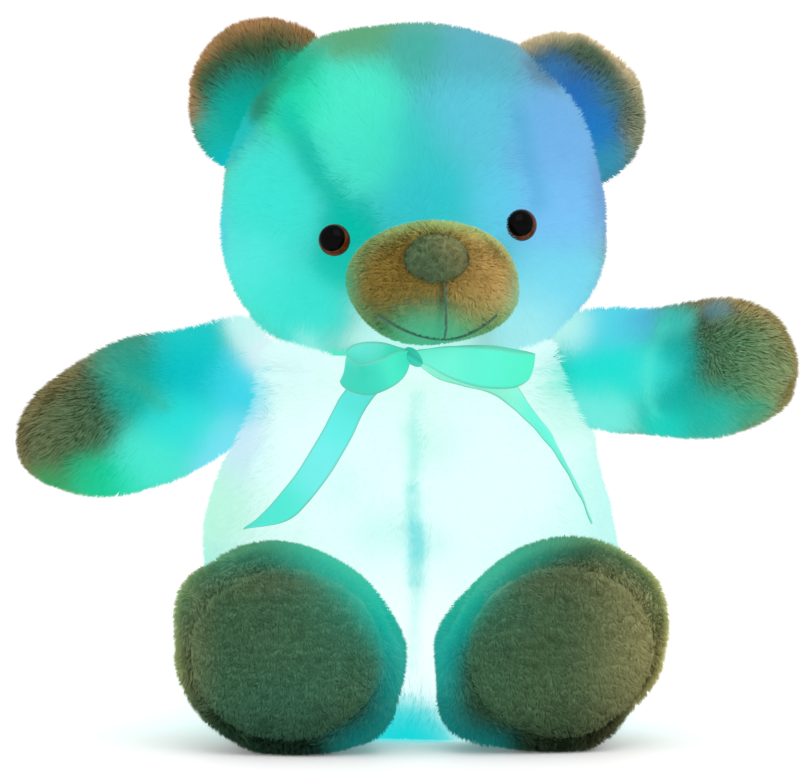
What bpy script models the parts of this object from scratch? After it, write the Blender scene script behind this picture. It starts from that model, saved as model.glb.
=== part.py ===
"""Plush night light: a seated stuffed bear lit from inside by a string of lamps.

Metres, +Z up. The bear faces -Y and sits on the plane Z = 0, with the origin under its neck.
Left and right are the bear's own, so its right arm is at -X.
Every stuffed form is one skin with its filling, and its surface is where the pile ends.
"""

import math

import bpy
import numpy as np
from mathutils import Matrix, Vector

# Clearances that every seam, seat and bore uses
SEAM_GAP = 0.0003
RUN_GAP = 0.0006
CUT_OVERRUN = 0.004

# Body: a stuffed egg, flat where it sits, with a round neck on top
BODY_WIDTH = 0.202
BODY_FRONT = 0.086
BODY_BACK = 0.078
BODY_TOP = 0.1805
BODY_SINK = 0.007
BODY_PROFILE_SHARES = (
    (0.000, 0.000, 0.000, 0.000),
    (0.032, 0.760, 0.860, 0.718),
    (0.133, 0.940, 0.965, 0.897),
    (0.277, 1.000, 1.000, 0.974),
    (0.464, 1.000, 1.000, 1.000),
    (0.784, 0.891, 0.872, 0.872),
    (0.885, 0.815, 0.770, 0.790),
    (0.948, 0.735, 0.690, 0.720),
    (0.980, 0.640, 0.620, 0.650),
)
NECK_RADIUS = 0.046
NECK_HEIGHT = 0.0105
NECK_TOP = BODY_TOP + NECK_HEIGHT

# Head: broad cheeks low down, narrowing to the crown
HEAD_WIDTH = 0.188
HEAD_FRONT = 0.076
HEAD_BACK = 0.072
HEAD_LIFT = 0.0053
HEAD_BOTTOM = BODY_TOP + HEAD_LIFT
HEAD_HEIGHT = 0.1570
HEAD_PROFILE_SHARES = (
    (0.000, 0.000, 0.000, 0.000),
    (0.013, 0.511, 0.526, 0.528),
    (0.055, 0.745, 0.737, 0.750),
    (0.119, 0.872, 0.868, 0.861),
    (0.222, 0.968, 0.974, 0.958),
    (0.350, 1.000, 1.000, 1.000),
    (0.550, 0.982, 0.960, 0.990),
    (0.700, 0.890, 0.875, 0.925),
    (0.808, 0.785, 0.765, 0.825),
    (0.900, 0.640, 0.615, 0.675),
    (0.962, 0.465, 0.435, 0.490),
    (1.000, 0.000, 0.000, 0.000),
)
HEAD_SWEEP_GAP = 0.0015

# The face looks a little to the bear's left, and its eyes slope
FACE_YAW = math.radians(6.0)
MUZZLE_ASIDE = 0.0016
MUZZLE_WIDTH = 0.083
MUZZLE_RISE = 0.0305
MUZZLE_DROP = 0.0292
MUZZLE_LENGTH = 0.060
MUZZLE_PROUD = 0.0315
MUZZLE_LIFT = 0.0302
MUZZLE_REACH = HEAD_FRONT + MUZZLE_PROUD
MUZZLE_HEIGHT = HEAD_BOTTOM + MUZZLE_LIFT
MUZZLE_PROFILE_SHARES = (
    (0.000, 0.000, 0.000, 0.000),
    (0.030, 0.560, 0.560, 0.560),
    (0.200, 0.880, 0.880, 0.880),
    (0.420, 1.000, 1.000, 1.000),
    (0.620, 0.950, 0.940, 0.950),
    (0.780, 0.820, 0.800, 0.820),
    (0.900, 0.620, 0.600, 0.620),
    (0.972, 0.350, 0.340, 0.350),
    (1.000, 0.000, 0.000, 0.000),
)
NOSE_WIDTH = 0.0310
NOSE_RISE = 0.0122
NOSE_DROP = 0.0135
NOSE_LENGTH = 0.0150
NOSE_PROUD = 0.0035
NOSE_LIFT = 0.0115
NOSE_REACH = MUZZLE_REACH + NOSE_PROUD
NOSE_HEIGHT = MUZZLE_HEIGHT + NOSE_LIFT
NOSE_PROFILE_SHARES = (
    (0.000, 0.000, 0.000, 0.000),
    (0.060, 0.600, 0.600, 0.600),
    (0.300, 0.930, 0.930, 0.930),
    (0.550, 1.000, 1.000, 1.000),
    (0.800, 0.860, 0.820, 0.820),
    (0.940, 0.520, 0.480, 0.480),
    (1.000, 0.000, 0.000, 0.000),
)
THREAD_RADIUS = 0.0009
MOUTH_LINE_TOP = 0.0020
MOUTH_LINE_BOTTOM = -0.0245
MOUTH_LINE_TOP_ASIDE = 0.0012
MOUTH_LINE_FOOT_ASIDE = 0.0038
MOUTH_LINE_OVERLAP = 1.045
SMILE_HALF_WIDTH = 0.0285
SMILE_END_RISE = 0.0100
EYE_RADIUS = 0.0076
EYE_DOME = 0.0044
EYE_RIM = 0.0012
EYE_SINK = 0.0010
EYE_SPREAD = 0.0445
EYE_LIFT = 0.0542
EYE_HEIGHT = HEAD_BOTTOM + EYE_LIFT
EYE_SLOPE = 0.0036
EYE_TURN = math.radians(13.0)
DOME_TURN = 1.45
PUPIL_RADIUS = 0.0053
PUPIL_THICKNESS = 0.0016
PUPIL_PROUD = 0.0004
SHANK_RADIUS = 0.0024
SHANK_LENGTH = 0.0150
WASHER_RADIUS = 0.0078
WASHER_THICKNESS = 0.0015
WASHER_DEPTH = 0.0080

# Ears: round cushions sewn to the corners of the head
EAR_RADIUS = 0.0397
EAR_THICKNESS = 0.0260
RIGHT_EAR_INSET = 0.0215
RIGHT_EAR_DROP = 0.0360
LEFT_EAR_INSET = 0.0185
LEFT_EAR_DROP = 0.0433
EAR_PLACES = {"right": {"inset": RIGHT_EAR_INSET, "drop": RIGHT_EAR_DROP},
              "left": {"inset": LEFT_EAR_INSET, "drop": LEFT_EAR_DROP}}
EAR_BACKSET = 0.0040
EAR_TURN = math.radians(12.0)
EAR_PROFILE_SHARES = (
    (0.000, 0.000, 0.000, 0.000),
    (0.050, 0.580, 0.580, 0.580),
    (0.200, 0.880, 0.880, 0.880),
    (0.500, 1.000, 1.000, 1.000),
    (0.800, 0.880, 0.880, 0.880),
    (0.950, 0.580, 0.580, 0.580),
    (1.000, 0.000, 0.000, 0.000),
)

# Limbs: each starts inside the ball that it turns on
ARM_AXIS = (0.0, 1.0, 0.0)
LEG_AXIS = (1.0, 0.0, 0.0)
LIMB_GAP = 0.00045
LIMB_ROOT_SHARES = ((-0.45, 0.00), (-0.36, 0.55), (0.05, 0.86))

# Arms, which swing up and down at the shoulders
SHOULDER_X = 0.0830
SHOULDER_RADIUS = 0.0305
ARM_LENGTH = 0.1165
ARM_PROFILE_SHARES = {
    "right": (
        (0.190, 0.900, 0.900, 0.900),
        (0.400, 1.000, 0.960, 0.960),
        (0.620, 0.965, 0.930, 0.930),
        (0.790, 0.805, 0.790, 0.790),
        (0.900, 0.580, 0.570, 0.570),
        (0.968, 0.320, 0.320, 0.320),
        (1.000, 0.000, 0.000, 0.000),
    ),
    "left": (
        (0.150, 0.905, 0.905, 0.905),
        (0.340, 0.930, 0.930, 0.930),
        (0.530, 0.985, 0.985, 0.985),
        (0.680, 1.000, 1.000, 1.000),
        (0.830, 0.860, 0.860, 0.860),
        (0.930, 0.600, 0.600, 0.600),
        (1.000, 0.000, 0.000, 0.000),
    ),
}
RIGHT_SHOULDER_DROP = 0.0100
LEFT_SHOULDER_DROP = 0.0090
RIGHT_ARM_THICKNESS = 0.0732
LEFT_ARM_THICKNESS = 0.0668
ARM_POSES = {
    "right": {"drop": RIGHT_SHOULDER_DROP, "thickness": RIGHT_ARM_THICKNESS,
              "droop": math.radians(18.5), "forward": math.radians(5.0)},
    "left": {"drop": LEFT_SHOULDER_DROP, "thickness": LEFT_ARM_THICKNESS,
             "droop": math.radians(-3.5), "forward": math.radians(33.0)},
}
ARM_DOWN = math.radians(10.0)
ARM_UP = math.radians(20.0)

# Legs, which lift at the hips and end in broad flat feet
HIP_X = 0.0480
HIP_FORWARD = 0.0460
HIP_Y = -HIP_FORWARD
HIP_Z = 0.0470
HIP_RADIUS = 0.0380
FOOT_WIDTH = 0.1065
FOOT_RISE = 0.0508
FOOT_DROP = 0.0505
FOOT_LEAN = 0.16
LEG_PROFILE_SHARES = (
    (0.250, 0.820, 0.870, 0.930),
    (0.500, 0.935, 0.960, 1.000),
    (0.750, 1.000, 1.000, 0.985),
    (0.880, 0.970, 0.965, 0.935),
    (0.955, 0.820, 0.815, 0.780),
    (0.988, 0.480, 0.480, 0.460),
    (1.000, 0.000, 0.000, 0.000),
)
RIGHT_LEG_LENGTH = 0.1040
LEFT_LEG_LENGTH = 0.0930
LEG_POSES = {
    "right": {"length": RIGHT_LEG_LENGTH, "splay": math.radians(6.0)},
    "left": {"length": LEFT_LEG_LENGTH, "splay": math.radians(13.0)},
}
LEG_UP = math.radians(15.0)
SOLE_THICKNESS = 0.0020
SOLE_WIDTH = 0.0860
SOLE_LENGTH = 0.0760

# Ribbon: a band round the neck, tied in front
RIBBON_WIDTH = 0.0155
RIBBON_THICKNESS = 0.0008
BAND_HEIGHT = 0.0048
BAND_THICKNESS = 0.0014
BAND_LIFT = 0.0029
BAND_LEVEL = BODY_TOP + BAND_LIFT
KNOT_REACH = 0.0680
KNOT_Y = -KNOT_REACH
KNOT_DROP = 0.0007
KNOT_Z = BODY_TOP - KNOT_DROP
KNOT_WIDTH = 0.0110
KNOT_HEIGHT = 0.0105
KNOT_DEPTH = 0.0085
LOOP_STANDOFF = 0.0005
LOOP_FORWARD = 0.0030
LOOP_GATHER_SHARE = 0.45
LOOP_OPENING = 0.18
BAND_LEAVE = math.radians(38.0)
LEFT_LOOP_REACH = 0.0520
LEFT_LOOP_SWELL = 0.0075
RIGHT_LOOP_REACH = 0.0310
RIGHT_LOOP_SWELL = 0.0108
LOOPS = {
    "left": {"reach": LEFT_LOOP_REACH, "swell": LEFT_LOOP_SWELL, "turn": math.radians(-12.0),
             "fall": math.radians(-5.0), "lean": math.radians(8.0)},
    "right": {"reach": RIGHT_LOOP_REACH, "swell": RIGHT_LOOP_SWELL, "turn": math.radians(-148.0),
              "fall": math.radians(-9.0), "lean": math.radians(22.0)},
}
TAIL_STANDOFF = 0.0035
TAIL_ROOT_DROP = 0.0042
TAILS = {
    "right": {"cut": 1.80, "turn": 0.0,
              "route": ((-0.10, 0.945), (-0.19, 0.928), (-0.27, 0.900), (-0.350, 0.814), (-0.445, 0.718),
                        (-0.550, 0.632), (-0.660, 0.570))},
    "left": {"cut": 0.60, "turn": math.radians(-26.0),
             "route": ((0.10, 0.950), (0.25, 0.945), (0.41, 0.914), (0.515, 0.856), (0.624, 0.782),
                       (0.718, 0.702), (0.789, 0.623), (0.850, 0.560))},
}

# Battery pocket in the back, behind a flap that closes with hook and loop tape
POCKET_BOTTOM = 0.0440
FINGER_ROOM = 0.0130
LINER_THICKNESS = 0.0012
FLAP_MARGIN = 0.0080
FLAP_TOP = 0.1350
FLAP_BOTTOM = 0.0240
FLAP_THICKNESS = 0.0030
TAPE_WIDTH = 0.0480
TAPE_HEIGHT = 0.0120
TAPE_BOTTOM = 0.0275
TAPE_THICKNESS = 0.0012
TAPE_SKIN = 0.0012

# Battery case: three AA cells side by side, with a switch bay below them
CELL_COUNT = 3
CELL_RADIUS = 0.0071
CELL_LENGTH = 0.0490
NUB_RADIUS = 0.0027
NUB_LENGTH = 0.0010
CELL_PITCH = 0.0152
CELL_SIDE_ROOM = 0.0010
CELL_END_ROOM = 0.0014
CASE_WALL = 0.0016
CASE_SIDE_WALL = 0.0027
CASE_BACK_Y = 0.0460
SWITCH_BAY = 0.0110
LID_FLANGE = 0.0010
LID_LIP = 0.0010
LID_SLIDE = 0.0080
LID_GRIP_COUNT = 4
LID_GRIP_WIDTH = 0.0160
LID_GRIP_PITCH = 0.0022
LID_GRIP_DEPTH = 0.0005
SPRING_RADIUS = 0.0042
SPRING_TIP_RADIUS = 0.0028
SPRING_WIRE = 0.0004
SPRING_TURNS = 3
SPRING_HEIGHT = 0.0044
PLATE_RADIUS = 0.0045
PLATE_THICKNESS = 0.0005
CONTACT_ROOM = SPRING_HEIGHT + NUB_LENGTH + PLATE_THICKNESS + CELL_END_ROOM
BAY_HALF_WIDTH = CELL_PITCH * (CELL_COUNT - 1) / 2 + CELL_RADIUS + CELL_SIDE_ROOM
CASE_WIDTH = 2 * (BAY_HALF_WIDTH + CASE_SIDE_WALL)
CASE_DEPTH = CASE_WALL + 2 * CELL_RADIUS + LID_FLANGE + LID_LIP + 4 * SEAM_GAP
CASE_HEIGHT = SWITCH_BAY + 2 * CASE_WALL + CELL_LENGTH + CONTACT_ROOM
FLAP_WIDTH = CASE_WIDTH + 2 * FLAP_MARGIN
SWITCH_WIDTH = 0.0130
SWITCH_HEIGHT = 0.0060
SWITCH_DEPTH = 0.0055
KNOB_WIDTH = 0.0034
KNOB_HEIGHT = 0.0030
KNOB_PROUD = 0.0018
KNOB_TRAVEL = 0.0040
LEAD_HOLE_X = 0.0213
LEAD_HOLE_Y = 0.0520
LINER_HOLE_RADIUS = 0.0030

# Lamps on their lead, in a channel through the filling
LEAD_RADIUS = 0.0011
LEAD_POINT_STEP = 0.0068
LAMP_RADIUS = 0.0040
LAMP_LENGTH = 0.0070
LAMP_BORE = 0.0016
LAMP_END_TURN = math.radians(50.0)
CHANNEL_RADIUS = 0.0058
BODY_ROUTE = (
    (0.0213, 0.0520, 0.1130), (0.0213, 0.0519, 0.1190), (0.0205, 0.0460, 0.1232),
    (0.0180, 0.0320, 0.1240), (0.0080, 0.0060, 0.1180), (-0.0130, -0.0200, 0.1020),
    (-0.0120, -0.0400, 0.0850), (0.0090, -0.0440, 0.0760), (0.0200, -0.0340, 0.0950),
    (0.0080, -0.0160, 0.1250), (0.0010, -0.0030, 0.1480), (0.0000, 0.0000, 0.1680),
    (0.0000, 0.0000, 0.1800), (0.0000, 0.0000, 0.1910),
)
BODY_LAMP_SHARES = (0.30, 0.42, 0.54, 0.66, 0.78)
HEAD_ROUTE = (
    (0.0000, 0.0000, 0.1916), (0.0000, 0.0000, 0.2040), (-0.0060, -0.0100, 0.2240),
    (-0.0260, -0.0200, 0.2460), (-0.0330, -0.0110, 0.2740), (-0.0130, -0.0010, 0.2960),
    (0.0150, -0.0040, 0.2970), (0.0330, -0.0140, 0.2760), (0.0300, -0.0230, 0.2520),
)
HEAD_LAMP_SHARES = (0.28, 0.48, 0.68, 0.90)

# Fineness of the meshes
AROUND_BIG = 28
AROUND_LIMB = 18
AROUND_JOINT = 26
AROUND_SMALL = 14
AROUND_TINY = 10
AROUND_SOLE = 22
BALL_STEPS = 7
LAMP_STEPS = 5
CHANNEL_SIDES = 6
SOLE_TURN = 0.05
ROUND_STEPS = 2

FINISHES = {
    "plush": ((0.86, 0.90, 0.86), 0.95, 0.0),
    "velvet": ((0.42, 0.44, 0.33), 0.90, 0.0),
    "muzzle": ((0.62, 0.52, 0.33), 0.92, 0.0),
    "nose": ((0.34, 0.41, 0.34), 0.60, 0.0),
    "thread": ((0.10, 0.22, 0.19), 0.70, 0.0),
    "satin": ((0.30, 0.80, 0.70), 0.35, 0.0),
    "amber": ((0.45, 0.22, 0.10), 0.20, 0.0),
    "black": ((0.02, 0.02, 0.02), 0.15, 0.0),
    "white_plastic": ((0.80, 0.80, 0.78), 0.45, 0.0),
    "lining": ((0.70, 0.70, 0.68), 0.85, 0.0),
    "tape": ((0.75, 0.75, 0.74), 0.95, 0.0),
    "cell": ((0.10, 0.25, 0.55), 0.35, 0.6),
    "steel": ((0.65, 0.65, 0.66), 0.30, 1.0),
    "lead": ((0.85, 0.85, 0.82), 0.45, 0.0),
    "lamp": ((0.80, 0.95, 0.95), 0.15, 0.0),
}
SIDES = {"right": -1.0, "left": 1.0}
UPWARD = (0.0, 0.0, 1.0)


def material(finish):
    """The Principled material of a finish, made the first time that it is asked for."""
    found = bpy.data.materials.get(finish)
    if found:
        return found
    colour, roughness, metallic = FINISHES[finish]
    made = bpy.data.materials.new(finish)
    made.use_nodes = True
    shader = made.node_tree.nodes["Principled BSDF"]
    shader.inputs["Base Color"].default_value = (*colour, 1.0)
    shader.inputs["Roughness"].default_value = roughness
    shader.inputs["Metallic"].default_value = metallic
    return made


def add_mesh(name, points, faces, finish=None):
    """An object with this mesh. Without a finish it is a cutter: hidden, and drawn as wire."""
    mesh = bpy.data.meshes.new(name)
    mesh.from_pydata([tuple(p) for p in points], [], faces)
    mesh.validate()
    mesh.shade_smooth()
    mesh.set_sharp_from_angle(angle=math.radians(40.0))
    obj = bpy.data.objects.new(name, mesh)
    bpy.context.scene.collection.objects.link(obj)
    if finish:
        mesh.materials.append(material(finish))
    else:
        obj.hide_render = True
        obj.display_type = "WIRE"
    return obj


def boolean(obj, other, operation):
    step = obj.modifiers.new(f"{operation.lower()} {other.name}", "BOOLEAN")
    step.operation = operation
    step.solver = "EXACT"
    step.object = other


def cut(obj, *cutters):
    for cutter in cutters:
        boolean(obj, cutter, "DIFFERENCE")


def place(obj, matrix):
    obj.matrix_world = matrix
    return obj


def frame_of(origin, forward, up):
    """A matrix whose local Z runs along forward, and whose local -Y is nearest to up."""
    z = Vector(forward).normalized()
    x = Vector(up).cross(z).normalized() * -1.0
    y = z.cross(x)
    rotation = Matrix((x, y, z)).transposed()
    return Matrix.Translation(Vector(origin)) @ rotation.to_4x4()


# Stuffed forms
def scaled_profile(shares, length, side, front, back, start=0.0):
    """Rows of (along, side, front, back) in metres from a table of shares."""
    return np.array(shares) * (length, side, front, back) + (start, 0.0, 0.0, 0.0)


def grown(rows, gap):
    """The profile with its surface moved out by a gap, or in where the gap is negative."""
    rows = np.array(rows, float)
    low, high = rows[0, 0], rows[-1, 0]
    middle = (low + high) / 2
    stretch = (high - low + 2 * gap) / (high - low)
    rows[:, 0] = middle + (rows[:, 0] - middle) * stretch
    rows[:, 1:] = np.where(rows[:, 1:] > 0, rows[:, 1:] + gap, 0.0)
    return rows


def smoothed(rows, steps):
    """The rows read along a Catmull-Rom curve. Past a pole the profile returns on its other side."""
    rows = np.array(rows, float)
    mirrored = (1.0, -1.0, -1.0, -1.0)
    past = rows[-2] * mirrored if rows[-1, 1] == 0 else 2 * rows[-1] - rows[-2]
    line = np.vstack([rows[1] * mirrored, rows, past])
    found = []
    for before, start, end, after in zip(line, line[1:], line[2:], line[3:]):
        for t in np.arange(steps) / steps:
            found.append(
                0.5 * (2 * start + (end - before) * t
                       + (2 * before - 5 * start + 4 * end - after) * t**2
                       + (3 * start - before - 3 * end + after) * t**3)
            )
    return np.vstack([found, rows[-1]])


def loft(name, rows, around, finish=None, lean=0.0):
    """A closed form of oval rings about local Z, with a deeper or shallower half at the front, -Y.

    A lean carries the front half sideways along local X, more the further it stands out."""
    turns = np.linspace(0.0, 2 * math.pi, around, endpoint=False)
    across, deep = np.cos(turns), np.sin(turns)
    points, faces = [(0.0, 0.0, rows[0][0])], []
    for along, side, front, back in rows[1:-1]:
        depth = np.where(deep < 0, front, back) * deep
        points.extend(zip(side * across - lean * np.minimum(depth, 0.0), depth, np.full(around, along)))
    points.append((0.0, 0.0, rows[-1][0]))
    rings = len(rows) - 2
    for k in range(around):
        after = (k + 1) % around
        faces.append((0, 1 + after, 1 + k))
        for ring in range(rings - 1):
            low, high = 1 + ring * around, 1 + (ring + 1) * around
            faces.append((low + k, low + after, high + after, high + k))
        top = 1 + (rings - 1) * around
        faces.append((top + k, top + after, len(points) - 1))
    return add_mesh(name, points, faces, finish)


def turned(name, outline, around, finish=None):
    """A turned solid about local Z. The outline of (radius, along) is closed; zero radii are poles."""
    turns = np.linspace(0.0, 2 * math.pi, around, endpoint=False)
    points, faces, rings = [], [], []
    for radius, along in outline:
        first = len(points)
        if radius == 0:
            points.append((0.0, 0.0, along))
            rings.append([first] * around)
        else:
            points.extend((radius * math.cos(t), radius * math.sin(t), along) for t in turns)
            rings.append(list(range(first, first + around)))
    hollow = outline[0][0] > 0
    pairs = list(zip(rings, rings[1:])) + ([(rings[-1], rings[0])] if hollow else [])
    for low, high in pairs:
        for k in range(around):
            after = (k + 1) % around
            corners = (low[k], low[after], high[after], high[k])
            face = tuple(dict.fromkeys(corners))
            if len(face) > 2:
                faces.append(face)
    return add_mesh(name, points, faces, finish)


def block(name, low, high, finish=None):
    """A box between two corners."""
    points = [(x, y, z) for x in (low[0], high[0]) for y in (low[1], high[1]) for z in (low[2], high[2])]
    faces = [(0, 1, 3, 2), (4, 6, 7, 5), (0, 4, 5, 1), (2, 3, 7, 6), (0, 2, 6, 4), (1, 5, 7, 3)]
    return add_mesh(name, points, faces, finish)


def rounded_block(name, low, high, radius, segments, finish):
    obj = block(name, low, high, finish)
    bevel = obj.modifiers.new("rounded edges", "BEVEL")
    bevel.width = radius
    bevel.segments = segments
    bevel.harden_normals = False
    return obj


def ball(name, centre, radius, axis, socket=False):
    """A ball about a joint's axis. A socket has its flats, and not only its corners, a radius away."""
    reach = radius / math.cos(math.pi / AROUND_JOINT) if socket else radius
    turn = np.linspace(0.0, math.pi, BALL_STEPS + 1)
    outline = [(reach * math.sin(t), -radius * math.cos(t)) for t in turn[1:-1]]
    obj = turned(name, [(0.0, -radius), *outline, (0.0, radius)], AROUND_JOINT)
    return place(obj, frame_of(centre, axis, UPWARD))


def body_rows(gap=0.0):
    """The body's profile with its neck, which stays as it is when the body grows by a gap."""
    rows = scaled_profile(BODY_PROFILE_SHARES, BODY_TOP + BODY_SINK, BODY_WIDTH / 2, BODY_FRONT,
                          BODY_BACK, -BODY_SINK)
    neck = [(BODY_TOP, NECK_RADIUS), (NECK_TOP, NECK_RADIUS), (NECK_TOP, 0.0)]
    return np.vstack([smoothed(grown(rows, gap), ROUND_STEPS),
                      [(along + gap, radius, radius, radius) for along, radius in neck]])


def head_rows(gap=0.0):
    rows = scaled_profile(HEAD_PROFILE_SHARES, HEAD_HEIGHT, HEAD_WIDTH / 2, HEAD_FRONT, HEAD_BACK, HEAD_BOTTOM)
    return smoothed(grown(rows, gap), ROUND_STEPS)


def skin_y(rows, x, z, front=True):
    """Where a form's front or back surface lies at a place seen from the front."""
    side, depth = (np.interp(z, rows[:, 0], rows[:, k]) for k in (1, 2 if front else 3))
    share = max(0.0, 1.0 - (x / side) ** 2)
    return (-1.0 if front else 1.0) * depth * math.sqrt(share)


def limb_rows(ball_radius, shares, length, side, front, back, gap=0.0):
    """The swelling limb from inside its ball out to its tip."""
    root = [(along * ball_radius, wide * ball_radius, wide * ball_radius, wide * ball_radius)
            for along, wide in LIMB_ROOT_SHARES]
    limb = np.vstack([root, scaled_profile(shares, length, side, front, back)])
    return smoothed(grown(limb, gap), ROUND_STEPS)


def face_point(x, reach, height):
    """A place on the face, from its own middle plane, in the part's frame."""
    turn = Matrix.Rotation(FACE_YAW, 4, "Z")
    return turn @ Vector((x, -reach, height))


def face_direction(turn=0.0):
    yaw = FACE_YAW + turn
    return Vector((math.sin(yaw), -math.cos(yaw), 0.0))


# Body and battery pocket
def flap_blank(name, gap, skin, finish=None):
    """The part of the body's skin that the flap takes, grown at its edges by a gap."""
    blank = block(
        name,
        (-FLAP_WIDTH / 2 - gap, 0.0, FLAP_BOTTOM - gap),
        (FLAP_WIDTH / 2 + gap, BODY_BACK + CUT_OVERRUN, FLAP_TOP + gap),
        finish,
    )
    inner = loft(f"{name} inner face", body_rows(-skin), AROUND_BIG)
    cut(blank, inner)
    return blank


def tape_level():
    """The Y of the body's flat seat for the loop tape: under the flap's thinned skin and both tapes."""
    rows = body_rows()
    edge = min(
        skin_y(rows, TAPE_WIDTH / 2 + RUN_GAP, z, front=False)
        for z in (TAPE_BOTTOM - RUN_GAP, TAPE_BOTTOM + TAPE_HEIGHT + RUN_GAP)
    )
    return edge - TAPE_SKIN - 2 * TAPE_THICKNESS - 3 * SEAM_GAP


def make_body():
    body = loft("body", body_rows(), AROUND_BIG, "plush")
    floor = block("floor cutter", (-BODY_WIDTH, -BODY_WIDTH, -BODY_SINK - CUT_OVERRUN),
                  (BODY_WIDTH, BODY_WIDTH, 0.0))
    slot = flap_blank("flap slot", SEAM_GAP, FLAP_THICKNESS + SEAM_GAP)
    half_tape = TAPE_WIDTH / 2 + RUN_GAP
    seat = block("tape seat", (-half_tape, tape_level(), TAPE_BOTTOM - RUN_GAP),
                 (half_tape, BODY_BACK, TAPE_BOTTOM + TAPE_HEIGHT + RUN_GAP))
    shell = LINER_THICKNESS + SEAM_GAP
    low, high = pocket_room()
    pocket = block("pocket cutter", (low[0] - shell, low[1] - shell, low[2] - shell),
                   (high[0] + shell, BODY_BACK + CUT_OVERRUN, high[2] + shell))
    line = smooth_route(BODY_ROUTE, LEAD_POINT_STEP)
    enters = int((line[:, 1] < low[1] - shell).argmax()) - 1
    channel = channel_of("body channel", line[enters:], before=0.0, after=CUT_OVERRUN)
    cut(body, floor, slot, seat, pocket, channel)
    for side in SIDES:
        sockets = (
            ball(f"{side} shoulder socket", shoulder(side), SHOULDER_RADIUS + SEAM_GAP, ARM_AXIS, socket=True),
            ball(f"{side} hip socket", hip(side), HIP_RADIUS + SEAM_GAP, LEG_AXIS, socket=True),
        )
        cut(body, *sockets)


def pocket_room():
    """Corners of the free space inside the liner, which is open at the back."""
    half = CASE_WIDTH / 2 + RUN_GAP
    top = POCKET_BOTTOM + CASE_HEIGHT + FINGER_ROOM
    back = skin_y(body_rows(), half + LINER_THICKNESS, top + LINER_THICKNESS, front=False)
    return (
        (-half, CASE_BACK_Y - SEAM_GAP, POCKET_BOTTOM - SEAM_GAP),
        (half, back - FLAP_THICKNESS - 2 * RUN_GAP, top),
    )


def make_pocket():
    low, high = pocket_room()
    wall = LINER_THICKNESS
    liner = block("pocket_liner", (low[0] - wall, low[1] - wall, low[2] - wall),
                  (high[0] + wall, high[1], high[2] + wall), "lining")
    room = block("pocket room", low, (high[0], high[1] + CUT_OVERRUN, high[2]))
    hole = turned("liner hole", disc_outline(LINER_HOLE_RADIUS, -CUT_OVERRUN, CUT_OVERRUN), AROUND_TINY)
    place(hole, frame_of(BODY_ROUTE[2], (0.0, -1.0, 0.0), UPWARD))
    cut(liner, room, hole)
    flap = flap_blank("back_flap", 0.0, FLAP_THICKNESS, "plush")
    boolean(flap, loft("flap outer face", body_rows(), AROUND_BIG), "INTERSECT")
    level = tape_level()
    half_tape = TAPE_WIDTH / 2
    seat = block("flap tape seat", (-half_tape - RUN_GAP, 0.0, TAPE_BOTTOM - RUN_GAP),
                 (half_tape + RUN_GAP, level + 2 * TAPE_THICKNESS + 3 * SEAM_GAP,
                  TAPE_BOTTOM + TAPE_HEIGHT + RUN_GAP))
    cut(flap, seat)
    loop_y = level + SEAM_GAP
    hook_y = loop_y + TAPE_THICKNESS + SEAM_GAP
    for name, y in (("loop_tape", loop_y), ("hook_tape", hook_y)):
        block(name, (-half_tape, y, TAPE_BOTTOM), (half_tape, y + TAPE_THICKNESS, TAPE_BOTTOM + TAPE_HEIGHT),
              "tape")


def disc_outline(radius, low, high):
    return [(0.0, low), (radius, low), (radius, high), (0.0, high)]


# Battery case and what is in it
def case_corners():
    low = Vector((-CASE_WIDTH / 2, CASE_BACK_Y, POCKET_BOTTOM))
    return low, low + Vector((CASE_WIDTH, CASE_DEPTH, CASE_HEIGHT))


def cell_bay():
    """Corners of the bay for the cells, from its floor to the case's open face."""
    low, high = case_corners()
    return (
        Vector((-BAY_HALF_WIDTH, low.y + CASE_WALL, low.z + SWITCH_BAY + CASE_WALL)),
        Vector((BAY_HALF_WIDTH, high.y, high.z - CASE_WALL)),
    )


def make_case():
    low, high = case_corners()
    bay_low, bay_high = cell_bay()
    case = rounded_block("battery_case", low, high, CASE_WALL / 2, 2, "white_plastic")
    bay = block("cell bay", bay_low, bay_high + Vector((0.0, CUT_OVERRUN, 0.0)))
    groove_y = high.y - LID_LIP - LID_FLANGE - 2 * SEAM_GAP
    half_groove = BAY_HALF_WIDTH + LID_FLANGE + SEAM_GAP
    groove = block("lid groove", (-half_groove, groove_y, bay_low.z),
                   (half_groove, high.y - LID_LIP, high.z + CUT_OVERRUN))
    mouth = block("lid mouth", (-BAY_HALF_WIDTH, groove_y, bay_low.z),
                  (BAY_HALF_WIDTH, high.y + CUT_OVERRUN, high.z + CUT_OVERRUN))
    switch_z = low.z + (SWITCH_BAY + CASE_WALL) / 2
    room = block(
        "switch room",
        (-SWITCH_WIDTH / 2 - RUN_GAP, low.y + CASE_WALL, switch_z - SWITCH_HEIGHT / 2 - RUN_GAP),
        (SWITCH_WIDTH / 2 + RUN_GAP, high.y - CASE_WALL, switch_z + SWITCH_HEIGHT / 2 + RUN_GAP),
    )
    half_slot = (KNOB_WIDTH + KNOB_TRAVEL) / 2 + RUN_GAP
    half_knob = KNOB_HEIGHT / 2 + SEAM_GAP
    slot = block("knob slot", (-half_slot, high.y - CASE_WALL - CUT_OVERRUN, switch_z - half_knob),
                 (half_slot, high.y + CUT_OVERRUN, switch_z + half_knob))
    hole = turned("lead hole", disc_outline(LEAD_RADIUS + SEAM_GAP, -CUT_OVERRUN, CUT_OVERRUN), AROUND_TINY)
    place(hole, Matrix.Translation((LEAD_HOLE_X, LEAD_HOLE_Y, high.z)))
    cut(case, bay, groove, mouth, room, slot, hole)
    make_lid(bay_low, high, groove_y)
    make_switch(switch_z, high.y)


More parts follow.
